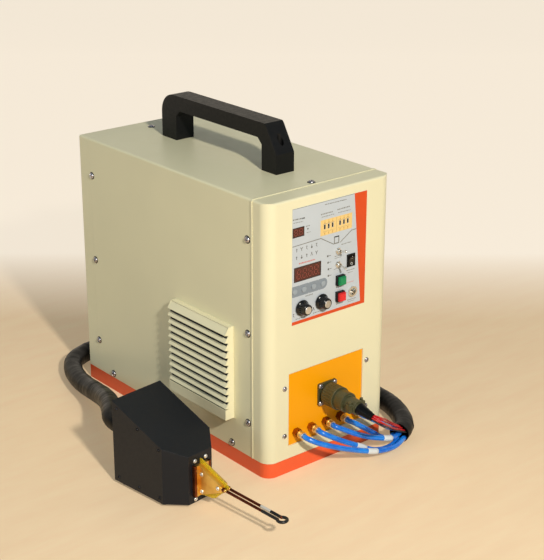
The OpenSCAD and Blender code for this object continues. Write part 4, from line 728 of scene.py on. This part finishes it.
def front_marks():
    slab("mark_band", [[(43, 399.4), (58.5, 234), (66.95, 229.1), (66.95, 399.4)],
                       [(-70.95, 229.1), (66.95, 229.1), (58.5, 234), (-70.95, 234)]],
         "band", MARK_Y)
    windows = [(x - 1.75, 358.4, x + 1.75, 365.6) for x in WHEEL_X]
    slab("mark_field", grid_with_windows(-20, 349.6, 39.2, 372.5, windows), "field", MARK_Y)
    brown = []
    for x in WHEEL_X:
        brown += [[(x - 1.3, 367.0), (x + 1.3, 367.0), (x, 369.6)],
                  rect(x - 0.9, 370.3, x + 0.9, 370.9),
                  [(x - 1.3, 353.6), (x, 351.0), (x + 1.3, 353.6)],
                  rect(x - 0.9, 350.2, x + 0.9, 350.7)]
    slab("mark_wheel_signs", brown, "ink_brown", FINE_Y)
    rules = []
    for a, b in ((WHEEL_X[0], WHEEL_X[2]), (WHEEL_X[3], WHEEL_X[5])):
        for z in (355.2, 366.4):
            rules += stroke([(a - 3.6, z), (b + 3.6, z)], 0.3)
    rules += stroke([(9.6, 350.4), (9.6, 371.8)], 0.35)
    slab("mark_field_lines", rules, "ink_soft_and_shadow", FINE_Y)
    grey_marks_and_shadow = stroke([(-70.9, 345.5), (-19, 346.6), (5.4, 332.6)], 1.15)
    grey_marks_and_shadow += stroke([(17.4, 332.8), (38.8, 346.2), (47.6, 346.4)], 1.15)
    grey_marks_and_shadow += stroke([(6.4, 342.9), (6.4, 333.2), (14.6, 333.2), (14.6, 342.9), (6.4, 342.9)], 1.6)
    # the second rectangle is no print but a painted shadow line along the top edge of the overlay
    grey_marks_and_shadow += [rect(6.1, 342.0, 14.9, 343.7), rect(-70.9, 398.7, 43.0, 399.3)]
    for row in GREY_PRINT:
        grey_marks_and_shadow += dashes(*row)
    slab("mark_grey", grey_marks_and_shadow, "ink_soft_and_shadow", MARK_Y)
    dark = dashes(-54.6, 382.4, -49.0, 382.4, 1.9, (1.4, 1.0))
    dark.append(rect(-44.4, 365.2, -42.0, 367.2))
    for x, z in ((-4.4, 317.4), (-3.6, 307.6), (-2.8, 297.6), (-2.6, 287.6)):
        dark += [[(x - 2.6, z - 1.3), (x, z - 1.5), (x, z + 1.5), (x - 2.6, z + 1.1)],
                 rect(x + 0.6, z - 0.35, x + 4.6, z + 0.35)]
    for x, upper, lower in ((-63.0, 0, 0), (-54.0, 1, 3), (-44.6, 2, 0), (-35.6, 3, 4),
                            (-26.6, 2, 1)):
        dark += pictogram(upper, x, 339.0) + pictogram(lower, x, 327.8)
    dark += pictogram(2, -67.6, 243.6) + pictogram(4, -31.0, 244.2)
    slab("mark_dark", dark, "ink", MARK_Y)
    red = []
    for row in RED_PRINT:
        red += dashes(*row)
    slab("mark_red", red, "ink_red", MARK_Y)


def key_strip():
    """The grey strip with its round right end, as bands between each key hole and the outline."""
    left, low, high, end_radius = -70.9, 270.6, 286.6, 8.0
    key_xs, key_z, hole_radius, n = (-66.03, -49.2, -31.39, -13.87), 278.79, 4.3, 48
    cuts = [left, *((a + b) / 2 for a, b in zip(key_xs, key_xs[1:]))]
    verts, faces = [], []
    for i, key_x in enumerate(key_xs):
        ring, outline = [], []
        for a in angles(n):
            c, s = math.cos(a), math.sin(a)
            ring.append((key_x + hole_radius * c, key_z + hole_radius * s))
            reach = ((high if s > 0 else low) - key_z) / s if s else math.inf
            if c < 0:
                reach = min(reach, (cuts[i] - key_x) / c)
            elif key_x == key_xs[-1]:
                reach = min(reach, end_radius)
            else:
                reach = min(reach, (cuts[i + 1] - key_x) / c)
            outline.append((key_x + reach * c, key_z + reach * s))
        faces += ring_faces(len(verts), 2, n, flip=True)
        verts += [Vector((x, MARK_Y, z)) * MM for x, z in ring + outline]
    obj = piece("mark_strip", verts, faces, M["strip"], "cabinet", False)


front_marks()
key_strip()


# ---- displays: dim digit segments under the red filter
def digits(name, node, x, z, w, h, count):
    y = Vector(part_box(node)[0]).y / MM
    half_w, half_h, t, slant = w * 0.62 / count * 0.42, h * 0.31, h * 0.055, 0.08
    bars = [(-half_w + t, v - t / 2, half_w - t, v + t / 2) for v in (-half_h, 0.0, half_h)]
    bars += [(u - t / 2, v0, u + t / 2, v1) for u in (-half_w, half_w)
             for v0, v1 in ((-half_h + t, -t), (t, half_h - t))]
    out = []
    for i in range(count):
        cx = x + (i - (count - 1) / 2) * w * 0.86 / count
        out += [[(cx + u + v * slant, z + v) for u, v in rect(*bar)] for bar in bars]
        out.append(disc(cx + half_w + t * 1.6, z - half_h, t * 0.7, 10))
    slab(name, out, "segment", y - 0.02, y + 0.15)


digits("display_small_digits", "display_small", -60.1, 364.7, 20.6, 13.5, 2)
digits("display_large_digits", "display_large", -42.85, 303.0, 49.2, 21.1, 4)


# ---- screws with a domed head and a cross recess
def place(at, out):
    """A matrix that puts local z along out, at a point in millimetres."""
    z = Vector(out).normalized()
    x = z.cross(Vector((0.3, 0.2, 0.93))).normalized()
    rot = Matrix((x, z.cross(x), z)).transposed()
    return Matrix.Translation(Vector(at) * MM) @ rot.to_4x4()


def lathe(m, profile, n):
    """Points of a profile of (radius, distance), turned about the z axis of a matrix."""
    return [m @ (Vector((r * math.cos(a), r * math.sin(a), z)) * MM)
            for r, z in profile for a in angles(n)]


def screw_mesh(verts, faces, at, out, r, h, shank_r, shank_l, turn):
    """Domed head from rings, its cross pressed in, with the shank below."""
    m = place(at, out) @ Matrix.Rotation(turn, 4, "Z")
    base, n, rings = len(verts), 40, 11
    arm, reach, deep = r * 0.13, r * 0.62, h * 0.55
    for i in range(1, rings + 1):
        q = i / rings
        for a in angles(n):
            x, y = r * q * math.cos(a), r * q * math.sin(a)
            z = h * math.sqrt(1 - (q * 0.985) ** 2.6)
            if (abs(x) < arm and abs(y) < reach) or (abs(y) < arm and abs(x) < reach):
                z -= deep * (1 - 0.4 * q / 0.62)
            verts.append(m @ (Vector((x, y, z)) * MM))
    verts += lathe(m, ((r, 0.0), (shank_r, 0.0), (shank_r, -shank_l)), n)
    faces += ring_faces(base, rings + 3, n, flip=True)
    faces += [cap_face(base, n), cap_face(base + (rings + 2) * n, n, flip=True)]


def screws(name, node, spots, mat, body):
    verts, faces = [], []
    for i, spot in enumerate(spots):
        screw_mesh(verts, faces, *spot, 0.7 * i)
    obj = piece(name, verts, faces, mat, body)
    bm = bmesh.new()
    bm.from_mesh(obj.data)
    bmesh.ops.recalc_face_normals(bm, faces=bm.faces)
    for e in bm.edges:
        e.smooth = e.calc_face_angle(0.0) < 0.7
    bm.to_mesh(obj.data)
    bm.free()
    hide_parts(node)


def washers(spots):
    """Dark sealing washers under the large heads."""
    verts, faces, n = [], [], 36
    profile = [(3.0, -0.3), (5.7, -0.3), (5.9, 0.1), (5.75, 0.5), (5.3, 0.72), (4.4, 0.75)]
    for at, out, *_ in spots:
        faces += ring_faces(len(verts), len(profile), n)
        verts += lathe(place(at, out), profile, n)
    obj = piece("cover_washers", verts, faces, M["black"], "cabinet")


def cabinet_screws():
    # radius and height of the head, radius and length of the shank
    pan, short, large = (4.0, 2.3, 1.9, 7.0), (4.0, 2.3, 1.9, 5.0), (4.9, 2.9, 1.9, 7.0)
    wall_x, front_y, rear_y, roof_z = 115, -230, 230, 414
    fan_z, fan_hole, plug_x, plug_z, plug_hole = 298.08, 52.5, -2, 106.03, 13.5
    spots = []
    for s in (-1, 1):
        for y in (-187.5, 198.5):
            for z in (76.6, 215.4, 355.0):
                spots.append(((s * wall_x, y, z), (s, 0, 0), *large))
        for y in (-149.5, 159.7):
            spots.append(((s * wall_x, y, 30.0), (s, 0, 0), *large))
    for y in (-187.5, 198.5):
        spots.append(((0, y, roof_z), (0, 0, 1), *large))
    washers(spots)
    for x in (-83.1, 74.9):
        for z in (135.6, 60.8):
            spots.append(((x, front_y, z), (0, -1, 0), *short))
    for x in (-fan_hole, fan_hole):
        for z in (fan_z - fan_hole, fan_z + fan_hole):
            spots.append(((x, rear_y, z), (0, 1, 0), *pan))
    for x in (plug_x - plug_hole, plug_x + plug_hole):
        for z in (plug_z - plug_hole, plug_z + plug_hole):
            spots.append(((x, front_y - 1, z), (0, -1, 0), *short))
    screws("cover_screws_cut", "cover_screws", spots, M["screw"], "cabinet")


def head_screws():
    """Bright screws of the nose and the contact blocks, and dark ones of the side walls."""
    bright, dark = [], []
    turn = HEAD.to_3x3()
    for share in (0.07, 0.4, 0.73):
        for z in (130 - share * 51 - 7, 12.0):
            for s in (-1, 1):
                at = on_head(s * 45.5, -share * HEAD_DEPTH, z) / MM
                dark.append((at, turn @ Vector((s, 0, 0)), 2.6, 1.5, 1.2, 3.0))
    for x in (-10, 10):
        for z in (10, 69):
            at = on_head(x, -HEAD_DEPTH, z) / MM
            bright.append((at, turn @ Vector((0, -1, 0)), 3.2, 1.9, 1.2, 3.0))
    for y, z in ((-170.6, 41), (-139.4, 51), (-139.4, 24.4)):
        for s in (-1, 1):
            at = on_head(s * 7.0, y, z) / MM
            bright.append((at, turn @ Vector((s, 0, 0)), 3.1, 1.8, 1.2, 3.0))
    screws("head_screws_cut", "head_screws", bright, M["bright_screw"], "work_head")
    screws("head_screws_dark", "head_screws", dark, M["dark_screw"], "work_head")


cabinet_screws()
head_screws()


# ---- turned pieces: a profile of (radius, distance) about an axis
def turned(name, at, out, profile, mat, body, sides=40):
    faces = ring_faces(0, len(profile), sides)
    faces += [cap_face(0, sides, flip=True), cap_face((len(profile) - 1) * sides, sides)]
    obj = piece(name, lathe(place(at, out), profile, sides), faces, mat, body)
    obj.data.set_sharp_from_angle(angle=0.6)


def panel_details():
    """The silver caps of the two knobs and their white dots."""
    z, dot_reach, dot_turn = 252.53, 9.6, math.radians(128)
    for side, x in (("left", -53.47), ("right", -17.04)):
        body = f"dial_{side}"
        turned(f"knob_cap_{side}", (x, -245.2, z), (0, -1, 0),
               [(0.6, -0.4), (5.4, -0.4), (5.6, 0.15), (5.2, 0.5), (4.5, 0.38), (4.1, 0.5),
                (3.3, 0.36), (2.2, 0.5), (1.2, 0.32), (0.3, 0.3)], M["cap"], body)
        dot = (x + dot_reach * math.cos(dot_turn), -234.6, z + dot_reach * math.sin(dot_turn))
        turned(f"knob_dot_{side}", dot, (0, -1, 0),
               [(0.4, -0.6), (1.25, -0.6), (1.25, 0.1), (1.0, 0.25), (0.3, 0.3)],
               M["white"], body, 20)


def display_frames():
    """Dark rims round the two display windows."""
    verts, faces = [], []
    rings = [(1.7, 0.3), (1.75, -0.12), (2.7, -0.12), (2.75, 0.3)]
    for node in ("display_small", "display_large"):
        lo, hi = (Vector(v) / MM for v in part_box(node))
        faces += ring_faces(len(verts), len(rings), 4, closed=True)
        for inset, dy in rings:
            corners = rect(lo.x + inset, lo.z + inset, hi.x - inset, hi.z - inset)
            verts += [Vector((x, lo.y + dy, z)) * MM for x, z in corners]
    obj = piece("display_frames", verts, faces, M["recess"], "cabinet", False)


def fitting_details():
    """Bright release collars and nuts of the hose fittings, and the plug's boot."""
    for i, x in enumerate(FITTING_XS):
        turned(f"fitting_collar_{i + 1}", (x, -246.2, FITTING_Z), (0, 1, 0),
               [(4.3, 0.0), (5.1, 0.2), (5.4, 0.8), (5.4, 2.4), (5.0, 3.0), (4.75, 3.2),
                (4.75, 6.0), (4.4, 6.2)], M["nickel"], "cabinet", 32)
        turned(f"fitting_ring_{i + 1}", (x, -239.9, FITTING_Z), (0, 1, 0),
               [(4.5, 0.0), (5.5, 0.2), (5.9, 0.7), (5.9, 2.2), (5.4, 2.7), (5.4, 3.4),
                (4.5, 3.6)], M["brass"], "cabinet", 32)
    turned("plug_boot", BOOT_START + BOOT_DIR * 0.5, BOOT_DIR,
           [(7.0, -1.0), (8.5, -0.6), (8.8, 0.6), (8.5, 2.2), (8.0, 4.0), (8.1, 6.0), (7.4, 10.0),
            (7.3, 12.0), (6.6, 16.0), (6.5, 19.0), (5.9, 22.0), (5.6, 24.6), (5.1, 25.1)],
           M["sleeve"], "cabinet", 36)


panel_details()
display_frames()
fitting_details()


# ---- white label sleeves on three of the hoses
def label_sleeve(index, near):
    """A sleeve about 16 mm long, round the point of the hose that is nearest to a place."""
    path, half, target = hose_paths[index], 0.008, Vector(near) * MM
    mid = min(range(len(path)), key=lambda k: (path[k] - target).length)
    first, last = mid, mid
    while path_length(path[first:mid + 1]) < half and first > 1:
        first -= 1
    while path_length(path[mid:last + 1]) < half and last < len(path) - 2:
        last += 1
    part = path[first:last + 1]
    total = path_length(part)

    def radius(run, a):
        q = min(run, total - run) / 0.0006
        return 0.00412 + 0.0005 * min(1.0, max(0.0, q)) + 0.00008 * math.sin(3 * a + run * 900)

    obj = tube(f"hose_label_{index + 1}", part, radius, 28, M["tag"], "cabinet")


label_sleeve(0, (40, -285, 19))
label_sleeve(1, (28, -273, 26))
label_sleeve(2, (80, -274, 22))


# ---- the coil's covering: black lacquer on the ring, a pale glass sleeve, braze fillets
def head_path(points):
    return [on_head(*p) for p in points]


def coil_pieces():
    ring_y, ring_z, mean, x0 = -284.6, 36.0, 6.5, 3.75
    root_y, root_z = -178.6, 41
    a0 = math.asin(x0 / mean)
    ring = []
    for k in range(41):
        a = a0 + (2 * math.pi - 2 * a0) * k / 40
        ring.append((mean * math.sin(a), ring_y + mean * math.cos(a), ring_z))
    end_y = ring_y + mean * math.cos(a0)

    def lead(s, t0, t1, n=14):
        out = []
        for k in range(n + 1):
            t = t0 + (t1 - t0) * k / n
            out.append((s * x0, root_y + (end_y - root_y) * t, root_z + (ring_z - root_z) * t))
        return out

    black = head_path(lead(1, 0.80, 0.99) + ring[1:-1] + lead(-1, 0.99, 0.72))
    skin = tube("coil_lacquer", spline(black, 0.0008),
                lambda run, a: 0.00222 + 0.00004 * math.sin(run * 2600),
                20, M["lacquer"], "work_head")
    pale = tube("coil_glass_sleeve", head_path(lead(1, 0.63, 0.81)),
                lambda run, a: 0.0023 + 0.00006 * math.sin(run * 2200 + 2 * a),
                24, M["glass_sleeve"], "work_head")

    def braze(run, a):
        return 0.0037 - 0.0016 * min(1.0, run / 0.0095) + 0.00012 * math.sin(5 * a)

    for s, name in ((1, "right"), (-1, "left")):
        line = [(s * x0, y, z) for y, z in ((-174.8, 41), (-176.4, 41), (-179.0, 41),
                                            (-182.4, 40.8), (-184.6, 40.7))]
        fillet = tube(f"braze_{name}", head_path(line), braze, 20, M["brass"], "work_head")


coil_pieces()


# ---- copper angles where the contact blocks meet the nose
def copper_roots():
    for s, name in ((1, "right"), (-1, "left")):
        x0, x1 = sorted((s * 11.6, s * 15.3))
        ring = [(x0, -129.7), (x1, -129.7), (x1 + (0.25 if s > 0 else 0), -134.0),
                (x1, -135.15), (x0, -135.15)]
        n = len(ring)
        cx, cy = (sum(p[axis] for p in ring) / n for axis in (0, 1))
        verts = []
        for z, k in ((15.8, 0.985), (16.6, 1.0), (62.4, 1.0), (63.2, 0.985)):
            verts += [on_head(cx + (x - cx) * k, cy + (y - cy) * k, z) for x, y in ring]
        faces = ring_faces(0, 4, n) + [cap_face(0, n, flip=True), cap_face(3 * n, n)]
        obj = piece(f"copper_root_{name}", verts, faces, M["root_copper"], "work_head", False)
        bm = bmesh.new()
        bm.from_mesh(obj.data)
        bmesh.ops.recalc_face_normals(bm, faces=bm.faces)
        bm.to_mesh(obj.data)
        bm.free()


copper_roots()


# ---- painted shade: dark sheets behind the louvre gaps and on each blade under the lip above it
def hood_baffles():
    verts, faces = [], []
    blades, first_lip, lip_step = 11, 205, 11.5
    back, rear = -123.35, -123.65
    for i in range(blades):
        lip = first_lip - lip_step * i
        ring = [(-126.9, lip - 5.8), (-127.12, lip - 5.6), (-124.25, lip - 1.65),
                (rear, lip - 1.2), (rear, lip + 5.6), (back, lip + 5.6), (back, lip - 2.2),
                (-124.0, lip - 2.1)]
        if i == blades - 1:
            ring = [(rear, 75), (rear, lip + 5.6), (back, lip + 5.6), (back, 75)]
        n, base = len(ring), len(verts)
        for y in (-153.6, -18.4):
            verts += [Vector((x, y, z)) * MM for x, z in ring]
        faces += ring_faces(base, 2, n)
        faces += [cap_face(base, n, flip=True), cap_face(base + n, n)]
    # these dark sheets only paint the shade in the gaps between the blades
    obj = piece("hood_baffles", verts, faces, M["recess"], "cabinet", False)


hood_baffles()


# ---- marks of the rocker: a bar and a ring, on its two halves
def rocker_marks():
    cx, bar_z, ring_z = 38.16, 301.63 + 4.6, 301.63 - 4.8
    rocker = node_object("power_rocker")
    inverse = rocker.matrix_world.inverted()
    fallback = Vector(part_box("power_rocker")[0]).y / MM
    verts, faces = [], []

    def front(x, z):
        hit, p, *_ = rocker.ray_cast(inverse @ Vector((x * MM, -0.30, z * MM)),
                                     inverse.to_3x3() @ Vector((0, 1, 0)))
        return p.y / MM if hit else fallback

    def patch(outline):
        base = len(verts)
        verts.extend(Vector((x, front(x, z) - 0.06, z)) * MM for x, z in outline)
        faces.extend((base, base + k + 1, base + k + 2) for k in range(len(outline) - 2))

    patch(rect(cx - 0.45, bar_z - 2.0, cx + 0.45, bar_z + 2.0))
    inner, outer = (disc(cx, ring_z, r, 20) for r in (1.3, 2.0))
    for k in range(20):
        m = (k + 1) % 20
        patch([inner[k], outer[k], outer[m], inner[m]])
    obj = piece("rocker_marks", verts, faces, M["white"], "rocker", False)


rocker_marks()


# ---- floor, backdrop and light
def stage_parts():
    steps, floor_end, bend = 14, 2.6, 0.9
    rows = [(-8.0, 0.0)]
    rows += [(floor_end + bend * math.sin(a), bend - bend * math.cos(a))
             for a in (math.pi / 2 * k / steps for k in range(steps + 1))]
    rows.append((floor_end + bend, 6.0))
    look = Vector((math.sin(CAMERA_YAW), math.cos(CAMERA_YAW), 0))
    side = Vector((look.y, -look.x, 0))
    verts = [look * d + side * s + Vector((0, 0, h)) for d, h in rows for s in (-9.0, 9.0)]
    faces = [(2 * i, 2 * i + 1, 2 * i + 3, 2 * i + 2) for i in range(len(rows) - 1)]
    n = Nodes("floor")
    geo = n.add("ShaderNodeNewGeometry")
    along = n.add("ShaderNodeVectorMath", operation="DOT_PRODUCT")
    n.join(geo.outputs["Position"], along.inputs[0])
    along.inputs[1].default_value = tuple(look)
    far = n.scaled(along.outputs["Value"], 0.0, 1.0, 0.34, 0.70)
    grain = n.noise(9.0, 5.0, 0.6, stretch=(1, 4, 1))
    floor = n.ramp(grain, [(0.3, lin(222, 194, 158)), (0.7, lin(230, 204, 168))])
    n.feed(n.mix(far, floor, lin(120, 116, 108)), "Base Color")
    n.feed(n.mix(far, lin(228, 198, 158), lin(250, 237, 218)), "Emission Color")
    # the glow is for the camera, mirrors and glass, and it lights nothing
    path = n.add("ShaderNodeLightPath").outputs
    seen = n.calc("MAXIMUM", path["Is Camera Ray"], path["Is Glossy Ray"])
    seen = n.calc("MAXIMUM", seen, path["Is Transmission Ray"])
    n.feed(n.calc("MULTIPLY", seen, n.scaled(far, 0.34, 0.86, 0.0, 1.0)), "Emission Strength")
    n.put("Roughness", 0.7)
    piece("floor_and_backdrop", verts, faces, n.mat, None)


def lamp(name, spot, aim, size, power, color):
    data = bpy.data.lights.new(name, "AREA")
    data.shape = "RECTANGLE"
    data.size, data.size_y = size
    data.energy = power
    data.color = color
    obj = bpy.data.objects.new(name, data)
    obj.location = spot
    obj.rotation_euler = (Vector(aim) - Vector(spot)).to_track_quat("-Z", "Y").to_euler()
    scene.collection.objects.link(obj)


def lights():
    world = bpy.data.worlds.new("world")
    scene.world = world
    world.use_nodes = True
    bg = world.node_tree.nodes["Background"]
    bg.inputs["Color"].default_value = (0.66, 0.86, 1.0, 1.0)
    bg.inputs["Strength"].default_value = 0.24
    lamp("key", (-0.85, -2.6, 1.9), (0, -0.1, 0.2), (0.17, 0.17), 80.0, (1.0, 0.95, 0.86))
    lamp("fill", (-2.9, -0.3, 0.8), (0, 0, 0.2), (1.6, 0.8), 10.0, (0.97, 1.0, 1.0))


stage_parts()
lights()

scene.view_settings.view_transform = "Standard"
